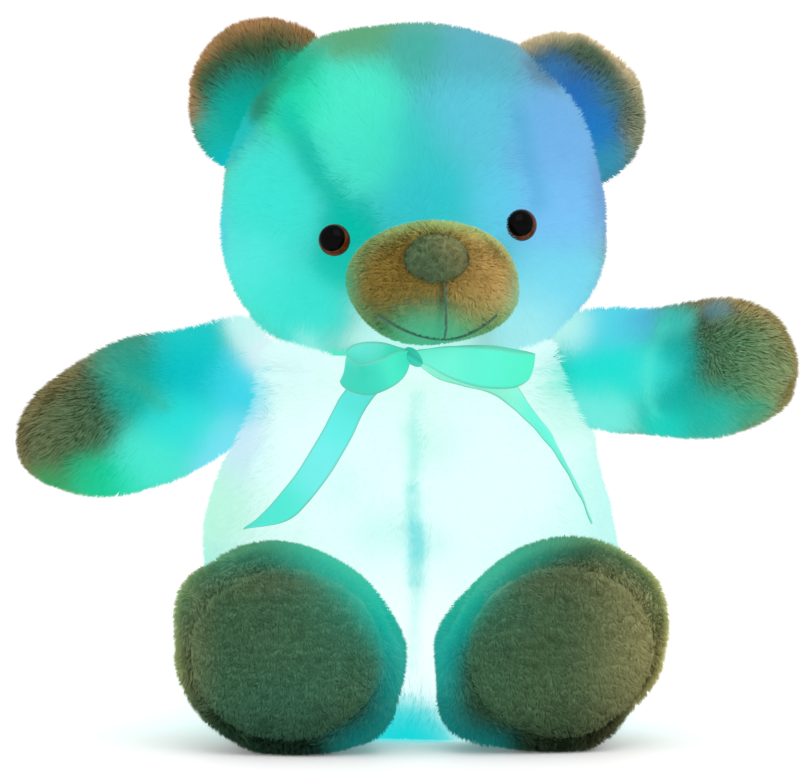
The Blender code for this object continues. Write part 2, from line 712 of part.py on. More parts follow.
def make_lid(bay_low, high, groove_y):
    """A sliding lid: a panel level with the case's face, and a flange that runs in its grooves."""
    half = BAY_HALF_WIDTH - SEAM_GAP
    flange_y = groove_y + SEAM_GAP
    bottom = bay_low.z + SEAM_GAP
    lid = block("battery_lid", (-half, flange_y, bottom), (half, high.y, high.z), "white_plastic")
    flange = block("lid flange", (-half - LID_FLANGE, flange_y, bottom),
                   (half + LID_FLANGE, flange_y + LID_FLANGE, high.z))
    boolean(lid, flange, "UNION")
    for k in range(LID_GRIP_COUNT):
        z = high.z - (k + 2) * LID_GRIP_PITCH
        groove = block(f"lid grip {k + 1}", (-LID_GRIP_WIDTH / 2, high.y - LID_GRIP_DEPTH, z),
                       (LID_GRIP_WIDTH / 2, high.y + CUT_OVERRUN, z + LID_GRIP_PITCH / 2))
        cut(lid, groove)


def make_switch(switch_z, face_y):
    top = face_y - CASE_WALL - SEAM_GAP
    block("switch_body", (-SWITCH_WIDTH / 2, top - SWITCH_DEPTH, switch_z - SWITCH_HEIGHT / 2),
          (SWITCH_WIDTH / 2, top, switch_z + SWITCH_HEIGHT / 2), "black")
    left = -(KNOB_WIDTH + KNOB_TRAVEL) / 2
    block("switch_knob", (left, top + SEAM_GAP, switch_z - KNOB_HEIGHT / 2),
          (left + KNOB_WIDTH, face_y + KNOB_PROUD, switch_z + KNOB_HEIGHT / 2), "black")


def make_cells():
    """Cells alternate, so a spring and a plate change places from one to the next."""
    low, high = cell_bay()
    y = low.y + SEAM_GAP + CELL_RADIUS
    outline = [(0.0, 0.0), (CELL_RADIUS, 0.0), (CELL_RADIUS, CELL_LENGTH), (NUB_RADIUS, CELL_LENGTH),
               (NUB_RADIUS, CELL_LENGTH + NUB_LENGTH), (0.0, CELL_LENGTH + NUB_LENGTH)]
    for k in range(CELL_COUNT):
        x = (k - (CELL_COUNT - 1) / 2) * CELL_PITCH
        nub_up = k % 2 == 0
        turn = Matrix.Identity(4) if nub_up else Matrix.Rotation(math.pi, 4, "X")
        foot = low.z if nub_up else high.z
        sign = 1.0 if nub_up else -1.0
        spring_end = foot + sign * (2 * SEAM_GAP + SPRING_HEIGHT)
        cell = turned(f"battery_cell_{k + 1}", outline, AROUND_SMALL, "cell")
        place(cell, Matrix.Translation((x, y, spring_end)) @ turn)
        spring = tube(f"contact_spring_{k + 1}", spring_points(), SPRING_WIRE, sides=5, finish="steel")
        place(spring, Matrix.Translation((x, y, foot + sign * SEAM_GAP)) @ turn)
        plate = turned(f"contact_plate_{k + 1}", disc_outline(PLATE_RADIUS, 0.0, PLATE_THICKNESS),
                       AROUND_SMALL, "steel")
        nub_end = spring_end + sign * (CELL_LENGTH + NUB_LENGTH + SEAM_GAP)
        place(plate, Matrix.Translation((x, y, nub_end)) @ turn)


def spring_points():
    """A helix that narrows towards the cell."""
    count = SPRING_TURNS * 7
    share = np.arange(count + 1) / count
    turn = 2 * math.pi * SPRING_TURNS * share
    radius = SPRING_RADIUS + (SPRING_TIP_RADIUS - SPRING_RADIUS) * share
    rise = SPRING_WIRE + (SPRING_HEIGHT - 2 * SPRING_WIRE) * share
    return np.stack([radius * np.cos(turn), radius * np.sin(turn), rise], axis=1)


# Tubes along a route, and what is threaded on them
def tube(name, points, radius, sides, finish=None):
    """A round tube along a line of points, with flat ends."""
    line = np.array(points, float)
    tangent = np.gradient(line, axis=0)
    tangent /= np.linalg.norm(tangent, axis=1)[:, None]
    across = Vector(tangent[0]).orthogonal().normalized()
    turns = np.linspace(0.0, 2 * math.pi, sides, endpoint=False)
    made, faces = [], []
    for place_at, along in zip(line, tangent):
        along = Vector(along)
        across = (across - along * across.dot(along)).normalized()
        other = along.cross(across)
        made.extend(Vector(place_at) + (across * math.cos(t) + other * math.sin(t)) * radius for t in turns)
    for ring in range(len(line) - 1):
        low, high = ring * sides, (ring + 1) * sides
        for k in range(sides):
            after = (k + 1) % sides
            faces.append((low + k, low + after, high + after, high + k))
    faces.append(tuple(reversed(range(sides))))
    faces.append(tuple(range(len(made) - sides, len(made))))
    return add_mesh(name, made, faces, finish)


def smooth_route(points, step):
    """Points a step apart along a smooth curve through the route's own points."""
    line = np.array(points, float)
    line = np.vstack([2 * line[0] - line[1], line, 2 * line[-1] - line[-2]])
    fine = []
    for before, start, end, after in zip(line, line[1:], line[2:], line[3:]):
        for t in np.linspace(0.0, 1.0, 20, endpoint=False):
            fine.append(
                0.5 * (2 * start + (end - before) * t
                       + (2 * before - 5 * start + 4 * end - after) * t**2
                       + (3 * start - before - 3 * end + after) * t**3)
            )
    fine = np.vstack([fine, line[-2]])
    along = np.concatenate([[0.0], np.cumsum(np.linalg.norm(np.diff(fine, axis=0), axis=1))])
    wanted = np.linspace(0.0, along[-1], max(2, round(along[-1] / step)) + 1)
    return np.stack([np.interp(wanted, along, fine[:, k]) for k in range(3)], axis=1)


def channel_of(name, line, before, after):
    """The room that a lead and its lamps take in the filling, run on past the ends of the lead."""
    ends = ((line[:1], line[0] - line[1], before), (line[-1:], line[-1] - line[-2], after))
    first, last = (end + way / np.linalg.norm(way) * run if run else end[:0] for end, way, run in ends)
    return tube(name, np.vstack([first, line, last]), CHANNEL_RADIUS, CHANNEL_SIDES)


def lamp_outline():
    """Half an oval round the lead, closed by the bore."""
    half = LAMP_LENGTH / 2
    oval = [(LAMP_RADIUS * math.cos(t), half * math.sin(t) / math.sin(LAMP_END_TURN))
            for t in np.linspace(-LAMP_END_TURN, LAMP_END_TURN, LAMP_STEPS)]
    return [*oval, (LAMP_BORE, half), (LAMP_BORE, -half)]


def make_lead(place_name, route, lamp_shares):
    line = smooth_route(route, LEAD_POINT_STEP)
    tube(f"{place_name}_lead", line, LEAD_RADIUS, sides=6, finish="lead")
    for k, share in enumerate(lamp_shares):
        start = int(share * (len(line) - 1))
        along = Vector(line[start + 1] - line[start])
        lamp = turned(f"{place_name}_lamp_{k + 1}", lamp_outline(), AROUND_TINY, "lamp")
        place(lamp, frame_of(Vector(line[start]) + along / 2, along, along.orthogonal()))


# Head and face
def make_head():
    head = loft("head", head_rows(), AROUND_BIG, "plush")
    cut(head, turned("neck recess", disc_outline(NECK_RADIUS + RUN_GAP, HEAD_BOTTOM - CUT_OVERRUN,
                                                  NECK_TOP + SEAM_GAP), AROUND_BIG))
    line = smooth_route(HEAD_ROUTE, LEAD_POINT_STEP)
    cut(head, channel_of("head channel", line, before=CUT_OVERRUN, after=LAMP_LENGTH))
    solid = loft("head with its seam gap", head_rows(SEAM_GAP), AROUND_BIG)
    muzzle_root = face_point(MUZZLE_ASIDE, MUZZLE_REACH - MUZZLE_LENGTH, MUZZLE_HEIGHT)
    muzzle_frame = frame_of(muzzle_root, face_direction(), UPWARD)
    muzzle = place(loft("muzzle", muzzle_rows(), AROUND_BIG, "muzzle"), muzzle_frame)
    cut(muzzle, solid)
    muzzle_solid = place(loft("muzzle with its seam gap", muzzle_rows(SEAM_GAP), AROUND_BIG), muzzle_frame)
    nose_root = face_point(0.0, NOSE_REACH - NOSE_LENGTH, NOSE_HEIGHT)
    nose = place(loft("nose", nose_rows(), AROUND_LIMB, "nose"), frame_of(nose_root, face_direction(), UPWARD))
    cut(nose, muzzle_solid, solid)
    make_mouth(muzzle_frame, muzzle_solid, nose)
    for side, sign in SIDES.items():
        make_ear(side, sign, solid)
        make_eye(side, sign, head)


def muzzle_rows(gap=0.0):
    rows = scaled_profile(MUZZLE_PROFILE_SHARES, MUZZLE_LENGTH, MUZZLE_WIDTH / 2, MUZZLE_RISE, MUZZLE_DROP)
    return smoothed(grown(rows, gap), ROUND_STEPS)


def nose_rows(gap=0.0):
    rows = scaled_profile(NOSE_PROFILE_SHARES, NOSE_LENGTH, NOSE_WIDTH / 2, NOSE_RISE, NOSE_DROP)
    return smoothed(grown(rows, gap), ROUND_STEPS)


def muzzle_front(x, z):
    """How far along the muzzle its front lies, at a place seen from the front."""
    rows = muzzle_rows()
    start = int(rows[:, 1].argmax())
    depth = rows[start:, 2 if z > 0 else 3]
    reach = np.hypot(x / np.maximum(rows[start:, 1], SEAM_GAP), z / np.maximum(depth, SEAM_GAP))
    return float(np.interp(1.0, reach, rows[start:, 0]))


def make_mouth(frame, muzzle_solid, nose):
    """Thread on the muzzle: a line down from the nose, and a smile that crosses its foot."""
    def on_muzzle(x, z):
        """x runs to the bear's left, which is local -X, and z up, which is local -Y."""
        return Vector((-x, -z, muzzle_front(x, z)))

    middle = MOUTH_LINE_FOOT_ASIDE
    line = [on_muzzle(MOUTH_LINE_TOP_ASIDE + (middle - MOUTH_LINE_TOP_ASIDE) * share,
                      MOUTH_LINE_TOP + (MOUTH_LINE_BOTTOM - MOUTH_LINE_TOP) * share)
            for share in np.linspace(0.0, MOUTH_LINE_OVERLAP, 9)]
    smile = []
    for share in np.linspace(-1.0, 1.0, 19):
        x = middle * (1 - abs(share)) + SMILE_HALF_WIDTH * share
        smile.append(on_muzzle(x, MOUTH_LINE_BOTTOM + SMILE_END_RISE * share**2 - THREAD_RADIUS / 2))
    mouth = tube("mouth_stitch", line, THREAD_RADIUS, sides=8, finish="thread")
    arc = tube("smile core", smile, THREAD_RADIUS, sides=8)
    for piece in (mouth, arc):
        place(piece, frame)
    boolean(mouth, arc, "UNION")
    nose_solid = place(loft("nose with its seam gap", nose_rows(SEAM_GAP), AROUND_LIMB), nose.matrix_world)
    cut(mouth, muzzle_solid, nose_solid)


def make_ear(side, sign, head_solid):
    rows = smoothed(scaled_profile(EAR_PROFILE_SHARES, EAR_THICKNESS, EAR_RADIUS, EAR_RADIUS, EAR_RADIUS,
                                   -EAR_THICKNESS / 2), ROUND_STEPS)
    ear = loft(f"ear_{side}", rows, AROUND_LIMB, "plush")
    ear_place = EAR_PLACES[side]
    across = sign * (HEAD_WIDTH / 2 - ear_place["inset"])
    height = HEAD_BOTTOM + HEAD_HEIGHT - ear_place["drop"]
    facing = (math.sin(sign * EAR_TURN), -math.cos(EAR_TURN), 0.0)
    place(ear, frame_of((across, EAR_BACKSET, height), facing, UPWARD))
    cut(ear, head_solid)


def make_eye(side, sign, head):
    """A glassy eye: an amber dome with a shank, a black pupil let into it, and a washer inside the head."""
    x = sign * EYE_SPREAD
    rows = head_rows()
    height = EYE_HEIGHT + sign * EYE_SLOPE
    local = face_point(x, 0.0, height)
    on_skin = face_point(x, -skin_y(rows, local.x, height), height)
    frame = frame_of(on_skin, face_direction(sign * EYE_TURN), UPWARD)
    rim = EYE_RIM - EYE_SINK
    dome = [(EYE_RADIUS * math.cos(t), rim + EYE_DOME * math.sin(t)) for t in np.linspace(0.0, DOME_TURN, 8)]
    outline = [(0.0, -EYE_SINK - SHANK_LENGTH), (SHANK_RADIUS, -EYE_SINK - SHANK_LENGTH),
               (SHANK_RADIUS, -EYE_SINK), (EYE_RADIUS, -EYE_SINK), *dome, (0.0, rim + EYE_DOME)]
    eye = place(turned(f"eye_{side}", outline, AROUND_LIMB, "amber"), frame)
    seat_level = rim + EYE_DOME * math.sqrt(1 - (PUPIL_RADIUS / EYE_RADIUS) ** 2) - PUPIL_THICKNESS
    seat_outline = disc_outline(PUPIL_RADIUS + SEAM_GAP, seat_level, rim + EYE_DOME + CUT_OVERRUN)
    cut(eye, place(turned(f"{side} pupil seat", seat_outline, AROUND_LIMB), frame))
    floor = seat_level + SEAM_GAP

    def lens_level(radius):
        return rim + PUPIL_PROUD + EYE_DOME * math.sqrt(1 - (radius / EYE_RADIUS) ** 2)

    lens = [(radius, lens_level(radius)) for radius in PUPIL_RADIUS * np.cos(np.linspace(0.0, DOME_TURN, 6))]
    pupil = turned(f"pupil_{side}", [(0.0, floor), (PUPIL_RADIUS, floor), *lens,
                                     (0.0, rim + EYE_DOME + PUPIL_PROUD)], AROUND_LIMB, "black")
    place(pupil, frame)
    back = -EYE_SINK - WASHER_DEPTH
    washer = turned(f"eye_washer_{side}", [
        (SHANK_RADIUS + SEAM_GAP, back - WASHER_THICKNESS), (WASHER_RADIUS, back - WASHER_THICKNESS),
        (WASHER_RADIUS, back), (SHANK_RADIUS + SEAM_GAP, back)], AROUND_LIMB, "white_plastic")
    place(washer, frame)
    shank, disc, glass = (radius + SEAM_GAP for radius in (SHANK_RADIUS, WASHER_RADIUS, EYE_RADIUS))
    tip = -EYE_SINK - SHANK_LENGTH - SEAM_GAP
    under, over = back - WASHER_THICKNESS - SEAM_GAP, back + SEAM_GAP
    rest = -EYE_SINK - SEAM_GAP
    room = turned(f"{side} eye seat", [
        (0.0, tip), (shank, tip), (shank, under), (disc, under), (disc, over), (shank, over), (shank, rest),
        (glass, rest), (glass, EYE_DOME), (0.0, EYE_DOME)], AROUND_LIMB)
    cut(head, place(room, frame))


# Limbs
def shoulder(side):
    return Vector((SIDES[side] * SHOULDER_X, 0.0, BODY_TOP - ARM_POSES[side]["drop"]))


def hip(side):
    return Vector((SIDES[side] * HIP_X, HIP_Y, HIP_Z))


def about(pivot, axis, angle):
    """A turn about an axis through a joint's pivot."""
    return Matrix.Translation(pivot) @ Matrix.Rotation(angle, 4, axis) @ Matrix.Translation(-pivot)


def clear_of(limb, name, makers, pivot, axis, angles):
    """Cuts from a limb what its neighbours would fill as it swings through these angles."""
    for maker_name, maker in makers.items():
        for k, angle in enumerate(angles):
            cutter = maker(f"{name} {maker_name} {k + 1}")
            place(cutter, about(pivot, axis, -angle))
            cut(limb, cutter)


def make_arm(side, sign):
    pose = ARM_POSES[side]
    pivot = shoulder(side)
    level = math.cos(pose["droop"])
    forward = (
        sign * math.cos(pose["forward"]) * level,
        -math.sin(pose["forward"]) * level,
        -math.sin(pose["droop"]),
    )
    half = pose["thickness"] / 2
    rows = limb_rows(SHOULDER_RADIUS, ARM_PROFILE_SHARES[side], ARM_LENGTH, half, half, half)
    arm = place(loft(f"arm_{side}", rows, AROUND_LIMB, "plush"), frame_of(pivot, forward, (0.0, -1.0, 0.0)))
    half_head = HEAD_WIDTH / 2
    turning_head = smoothed(grown(scaled_profile(
        [(row[0], row[1], row[1], row[1]) for row in HEAD_PROFILE_SHARES],
        HEAD_HEIGHT, half_head, half_head, half_head, HEAD_BOTTOM), HEAD_SWEEP_GAP), ROUND_STEPS)
    makers = {
        "body": lambda name: loft(name, body_rows(LIMB_GAP), AROUND_BIG),
        "head": lambda name: loft(name, turning_head, AROUND_BIG),
    }
    raise_turn = -sign
    angles = [raise_turn * a for a in (-ARM_DOWN, 0.0, ARM_UP / 2, ARM_UP)]
    clear_of(arm, side, makers, pivot, "Y", angles)
    core = ball(f"{side} shoulder core", pivot, SHOULDER_RADIUS, ARM_AXIS)
    clear_of(core, f"{side} core", {"head": makers["head"]}, pivot, "Y", angles)
    boolean(arm, core, "UNION")


def make_leg(side, sign):
    pivot = hip(side)
    length, splay = LEG_POSES[side]["length"], LEG_POSES[side]["splay"]
    forward = Vector((sign * math.sin(splay), -math.cos(splay), 0.0))
    frame = frame_of(pivot, forward, UPWARD)

    def shape(name, gap=0.0, finish=None):
        rows = limb_rows(HIP_RADIUS, LEG_PROFILE_SHARES, length, FOOT_WIDTH / 2, FOOT_RISE, FOOT_DROP, gap)
        return place(loft(name, rows, AROUND_LIMB, finish, lean=-sign * FOOT_LEAN), frame)

    leg = shape(f"leg_{side}", finish="plush")
    makers = {"body": lambda name: loft(name, body_rows(LIMB_GAP), AROUND_BIG)}
    clear_of(leg, f"{side} thigh", makers, pivot, "X", [0.0, -LEG_UP / 2, -LEG_UP])
    boolean(leg, ball(f"{side} hip core", pivot, HIP_RADIUS, LEG_AXIS), "UNION")
    floor = block(f"{side} foot floor", (-BODY_WIDTH, -BODY_WIDTH, -BODY_WIDTH), (BODY_WIDTH, BODY_WIDTH, 0.0))
    cut(leg, floor)
    slot = sole_blank(f"{side} sole slot", shape, frame, length, SEAM_GAP, SOLE_THICKNESS + SEAM_GAP)
    cut(leg, slot)
    sole = sole_blank(f"sole_{side}", shape, frame, length, 0.0, SOLE_THICKNESS, "velvet")
    boolean(sole, shape(f"{side} sole outer face"), "INTERSECT")


def sole_blank(name, shape, frame, length, gap, skin, finish=None):
    """The part of the foot's skin that its sole panel takes, grown at its edges by a gap."""
    turns = np.linspace(0.0, 2 * math.pi, AROUND_SOLE, endpoint=False) + SOLE_TURN
    half_width, half_length = SOLE_WIDTH / 2 + gap, SOLE_LENGTH / 2 + gap
    low, high = length / 2, length + CUT_OVERRUN
    points = [(half_width * math.cos(t), half_length * math.sin(t), z) for z in (low, high) for t in turns]
    count = len(turns)
    faces = [(k, (k + 1) % count, count + (k + 1) % count, count + k) for k in range(count)]
    faces += [tuple(reversed(range(count))), tuple(range(count, 2 * count))]
    blank = place(add_mesh(name, points, faces, finish), frame)
    cut(blank, shape(f"{name} inner face", -skin))
    return blank


# Ribbon
def strip(name, line, across, thickness, finish="satin", closed=False):
    """A flat strip along a line of points. across holds half its width at each point, as a vector."""
    line, across = np.array(line, float), np.array(across, float)
    tangent = np.gradient(line, axis=0)
    normal = np.cross(tangent, across)
    normal *= thickness / 2 / np.linalg.norm(normal, axis=1)[:, None]
    corners = (line - across - normal, line + across - normal, line + across + normal, line - across + normal)
    points = np.stack(corners, axis=1).reshape(-1, 3)
    faces = []
    for k in range(len(line) - 1):
        low, high = 4 * k, 4 * k + 4
        faces += [(low + a, low + b, high + b, high + a) for a, b in ((0, 1), (1, 2), (2, 3), (3, 0))]
    faces += [(3, 2, 1, 0), tuple(len(points) - 4 + k for k in range(4))]
    made = add_mesh(name, points, faces, finish)
    volume = sum(Vector(points[f[0]]).dot(Vector(points[f[1]]).cross(Vector(points[f[2]])))
                 + Vector(points[f[0]]).dot(Vector(points[f[2]]).cross(Vector(points[f[3]]))) for f in faces)
    if volume < 0:
        made.data.flip_normals()
    return made


def make_ribbon():
    knot_low = (-KNOT_WIDTH / 2, KNOT_Y - KNOT_DEPTH / 2, KNOT_Z - KNOT_HEIGHT / 2)
    knot_high = (KNOT_WIDTH / 2, KNOT_Y + KNOT_DEPTH / 2, KNOT_Z + KNOT_HEIGHT / 2)
    rounded_block("bow_knot", knot_low, knot_high, KNOT_DEPTH / 3, 2, "satin")
    make_band(knot_high)
    for side, sign in SIDES.items():
        make_loop(side, sign)
        make_tail(side, sign)


def make_band(knot_high):
    """The band follows the neck and runs forward to the back of the knot."""
    radius = NECK_RADIUS + RUN_GAP + BAND_THICKNESS / 2
    end_y = knot_high[1] + SEAM_GAP
    end_x = KNOT_WIDTH / 4
    turns = np.linspace(BAND_LEAVE, 2 * math.pi - BAND_LEAVE, 33)
    ring = [(radius * math.sin(t), -radius * math.cos(t), BAND_LEVEL) for t in turns]
    drop = KNOT_Z - BAND_LEVEL
    runs = []
    for start, end in ((ring[0], (end_x, end_y)), (ring[-1], (-end_x, end_y))):
        runs.append([
            (start[0] + (end[0] - start[0]) * share, start[1] + (end[1] - start[1]) * share,
             BAND_LEVEL + drop * share) for share in (0.25, 0.5, 0.75, 1.0)
        ])
    line = runs[0][::-1] + ring + runs[1]
    across = [(0.0, 0.0, BAND_HEIGHT / 2)] * len(line)
    strip("neck_ribbon", line, across, BAND_THICKNESS)


def make_loop(side, sign):
    """A loop goes out from the knot and comes back: a drop shape, seen along the ribbon's width."""
    loop = LOOPS[side]
    turn = np.linspace(LOOP_OPENING, 2 * math.pi - LOOP_OPENING, 25)
    out = loop["reach"] * (1 - np.cos(turn)) / 2
    apart = RIBBON_THICKNESS / 2 + SEAM_GAP
    aside = loop["swell"] * np.sin(turn) * np.sin(turn / 2) + apart * np.cos(turn / 2)
    heading = Vector((math.cos(loop["turn"]), math.sin(loop["turn"]), math.sin(loop["fall"]))).normalized()
    width_way = Vector((0.0, -math.sin(loop["lean"]), math.cos(loop["lean"])))
    width_way = (width_way - heading * width_way.dot(heading)).normalized()
    side_way = heading.cross(width_way)
    root = Vector((sign * (KNOT_WIDTH / 2 + LOOP_STANDOFF), KNOT_Y - LOOP_FORWARD, KNOT_Z))
    nearest = loop["reach"] * (1 - math.cos(turn[0])) / 2
    line = [root + heading * (o - nearest) + side_way * a for o, a in zip(out, aside)]
    gather = LOOP_GATHER_SHARE + (1 - LOOP_GATHER_SHARE) * np.sin(turn / 2) ** 0.7
    across = [width_way * (RIBBON_WIDTH / 2 * g) for g in gather]
    strip(f"bow_loop_{side}", line, across, RIBBON_THICKNESS)


def make_tail(side, sign):
    """A tail hangs from the knot and follows the belly, and is cut slanting at its end."""
    rows = body_rows()
    tail = TAILS[side]

    def clear_y(x, z):
        """The Y at which a ribbon this wide clears the belly below and above its own level."""
        levels = (z - RIBBON_WIDTH / 4, z, z + RIBBON_WIDTH / 4)
        return min(skin_y(rows, x, level) for level in levels) - TAIL_STANDOFF

    places = [(x * BODY_WIDTH / 2, z * BODY_TOP) for x, z in tail["route"]]
    route = [Vector((x, clear_y(x, z), z)) for x, z in places]
    start = Vector((sign * KNOT_WIDTH / 4, KNOT_Y, KNOT_Z - KNOT_HEIGHT / 2 - SEAM_GAP - TAIL_ROOT_DROP))
    line = smooth_route([start, *route], RIBBON_WIDTH / 5)
    line = np.array([(x, min(y, clear_y(x, z)), z) for x, y, z in line])
    tangent = np.gradient(line, axis=0)
    across, lifts = [], []
    for point, along in zip(line, tangent):
        side_z = np.interp(point[2], rows[:, 0], rows[:, 1])
        front_z = np.interp(point[2], rows[:, 0], rows[:, 2])
        outward = Vector((point[0] / side_z**2, point[1] / front_z**2, 0.0)).normalized()
        flat = Vector(along).cross(outward).normalized() * (RIBBON_WIDTH / 2)
        turn = tail["turn"] * min(1.0, len(across) / 6)
        lifts.append(outward * abs(math.sin(turn)) * RIBBON_WIDTH / 2)
        across.append(Matrix.Rotation(turn, 3, Vector(along)) @ flat)
    line += np.array(lifts)
    across = np.array(across)
    along = line[-1] - line[-2]
    across[-1] -= sign * tail["cut"] * RIBBON_WIDTH / 2 * along / np.linalg.norm(along)
    gathered = np.clip(np.arange(len(line)) / 4, LOOP_GATHER_SHARE, 1.0)[:, None]
    strip(f"bow_tail_{side}", line, across * gathered, RIBBON_THICKNESS)


# Joints
def hang(name, place_at, pieces):
    """An empty on a joint's axis, as the parent of the pieces that move about it."""
    pivot = bpy.data.objects.new(name, None)
    pivot.location = place_at
    bpy.context.scene.collection.objects.link(pivot)
    for piece in pieces:
        child = bpy.data.objects[piece]
        child.parent = pivot
        child.matrix_parent_inverse = Matrix.Translation(place_at).inverted()


def make_joints():
    face = [f"{piece}_{side}" for piece in ("ear", "eye", "pupil", "eye_washer") for side in SIDES]
    head_lamps = [f"head_lamp_{k + 1}" for k in range(len(HEAD_LAMP_SHARES))]
    hang("neck joint", (0.0, 0.0, NECK_TOP),
         ["head", "muzzle", "nose", "mouth_stitch", *face, "head_lead", *head_lamps])
    for side in SIDES:
        hang(f"{side} shoulder joint", shoulder(side), [f"arm_{side}"])
        hang(f"{side} hip joint", hip(side), [f"leg_{side}", f"sole_{side}"])
    hinge_y = skin_y(body_rows(), 0.0, FLAP_TOP, front=False) + SEAM_GAP
    hang("flap hinge", (0.0, hinge_y, FLAP_TOP + SEAM_GAP / 2), ["back_flap", "hook_tape"])
    low, high = case_corners()
    hang("lid track", (0.0, high.y, low.z), ["battery_lid"])
    hang("switch track", (0.0, high.y, low.z), ["switch_knob"])


def main():
    for obj in list(bpy.data.objects):
        bpy.data.objects.remove(obj, do_unlink=True)
    make_body()
    make_pocket()
    make_case()
    make_cells()
    make_head()
    make_lead("body", BODY_ROUTE, BODY_LAMP_SHARES)
    make_lead("head", HEAD_ROUTE, HEAD_LAMP_SHARES)
    for side, sign in SIDES.items():
        make_arm(side, sign)
        make_leg(side, sign)
    make_ribbon()
    make_joints()


main()
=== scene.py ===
# %% [markdown]
# # A plush night light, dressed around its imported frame
# The frame is the bear's solids with their joints. Each soft solid shows where the pile of the real bear ends.
# So a skin goes a pile's length inside it, and thousands of tufts grow out to it: a smooth ball with a bump map
# would never have the ragged edge and the soft depth of real plush.

import math

import bpy
import numpy as np
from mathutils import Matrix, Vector


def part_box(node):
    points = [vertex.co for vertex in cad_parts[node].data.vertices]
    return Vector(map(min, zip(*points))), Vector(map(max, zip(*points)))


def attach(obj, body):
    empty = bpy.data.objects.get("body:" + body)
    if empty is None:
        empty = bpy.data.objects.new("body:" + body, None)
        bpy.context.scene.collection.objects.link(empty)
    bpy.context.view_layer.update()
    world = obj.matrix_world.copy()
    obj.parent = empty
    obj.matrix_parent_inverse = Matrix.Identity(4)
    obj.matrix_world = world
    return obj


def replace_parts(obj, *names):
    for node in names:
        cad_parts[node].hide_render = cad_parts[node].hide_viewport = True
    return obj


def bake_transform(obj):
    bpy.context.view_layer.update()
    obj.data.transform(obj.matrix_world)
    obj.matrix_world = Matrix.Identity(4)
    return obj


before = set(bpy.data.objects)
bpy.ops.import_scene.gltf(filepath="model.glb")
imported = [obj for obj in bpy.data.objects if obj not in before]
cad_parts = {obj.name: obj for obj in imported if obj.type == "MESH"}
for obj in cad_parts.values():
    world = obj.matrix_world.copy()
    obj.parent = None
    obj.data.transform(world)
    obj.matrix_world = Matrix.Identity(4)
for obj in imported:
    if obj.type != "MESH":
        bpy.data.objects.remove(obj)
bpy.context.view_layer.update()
MM = 0.001

# %% [markdown]
# ## Camera
# The photograph was taken from far away and nearly level. A long lens two metres off gives the same flat view.

# %% Camera
CAMERA_DISTANCE = 2.0
CAMERA_RISE = math.radians(1.5)
CAMERA_LENS = 181.9
LOOK_AT = Vector((-0.0044, 0.0, 0.164))
camera = bpy.data.objects.new("camera", bpy.data.cameras.new("camera"))
camera.data.lens = CAMERA_LENS
camera_way = Vector((0.0, -math.cos(CAMERA_RISE), math.sin(CAMERA_RISE)))
camera.location = LOOK_AT + camera_way * CAMERA_DISTANCE
camera.rotation_mode = "QUATERNION"
camera.rotation_quaternion = camera_way.to_track_quat("Z", "Y")
bpy.context.scene.collection.objects.link(camera)
bpy.context.scene.camera = camera
bpy.context.scene.view_settings.view_transform = "Standard"
print("camera at", [round(v, 3) for v in camera.location])

# %% [markdown]
# ## Colours
# Colours are written as a screen shows them, from 0 to 255, and shaders need them in linear light.


# %% Colours
def linear(*screen):
    """Linear light of a screen colour: c / 12.92 below 0.04045, else ((c + 0.055) / 1.055) to the power 2.4."""
    c = np.array(screen, float) / 255.0
    return np.where(c <= 0.04045, c / 12.92, ((c + 0.055) / 1.055) ** 2.4)


print("mid grey is", linear(128, 128, 128).round(3))

# %% [markdown]
# ## Soft unevenness
# A stuffed toy is never quite smooth, and its pile never lies quite one way. Both need numbers that wander
# slowly through space. A sum of sine waves that run in random directions does that, for any number of points.


# %% Waves
WAVE_COUNT = 9


def waves(points, size, seed, ways=1):
    """Values near -1 to 1: a sum of waves, sin(2 pi point . direction / size + phase), over its spread."""
    rng = np.random.default_rng(seed)
    found = []
    for _ in range(ways):
        directions = rng.normal(size=(3, WAVE_COUNT))
        directions *= rng.uniform(0.6, 1.5, WAVE_COUNT) / np.linalg.norm(directions, axis=0)
        phases = rng.uniform(0, 2 * np.pi, WAVE_COUNT)
        found.append(np.sin(2 * np.pi * points @ directions / size + phases).sum(-1) / math.sqrt(WAVE_COUNT))
    return np.stack(found, -1) if ways > 1 else found[0]


def ramp(values, low, high):
    """0 below low, 1 above high, and 3 t t - 2 t t t between them."""
    t = np.clip((values - low) / (high - low), 0.0, 1.0)
    return t * t * (3 - 2 * t)


def unit(vectors):
    """Vectors brought to a length of 1."""
    return vectors / np.maximum(np.linalg.norm(vectors, axis=-1, keepdims=True), 1e-12)


print("waves:", waves(np.zeros((1, 3)), 0.05, 1).round(3))

# %% [markdown]
# ## Stuffed forms
# Head, body, ears, muzzle and limbs are all the same kind of shape: an oval that swells and shrinks along an
# axis, deeper at the back than at the front or the other way round. So one function of two parameters, the turn
# about the axis and the way along it, makes them all from short tables of radii.


# %% Forms
def smooth_run(line, steps):
    """A Catmull-Rom curve: from b to c, with a before and d after them, it is half of
    2 b + (c - a) t + (2 a - 5 b + 4 c - d) t t + (3 b - a - 3 c + d) t t t."""
    a, b, c, d = (line[k : len(line) - 3 + k, None] for k in range(4))
    t = (np.arange(steps) / steps)[None, :, None]
    found = 0.5 * (2 * b + (c - a) * t + (2 * a - 5 * b + 4 * c - d) * t**2 + (3 * b - a - 3 * c + d) * t**3)
    return found.reshape(-1, line.shape[1])


def fine_rows(rows, steps=10):
    """The table read along a smooth run, so that its rings pass softly from one to the next."""
    rows = np.array(rows, float)
    mirrored = np.array((1.0, -1.0, -1.0, -1.0))
    line = np.vstack([rows[1] * mirrored, rows, rows[-2] * mirrored])
    return np.vstack([smooth_run(line, steps), rows[-1]])


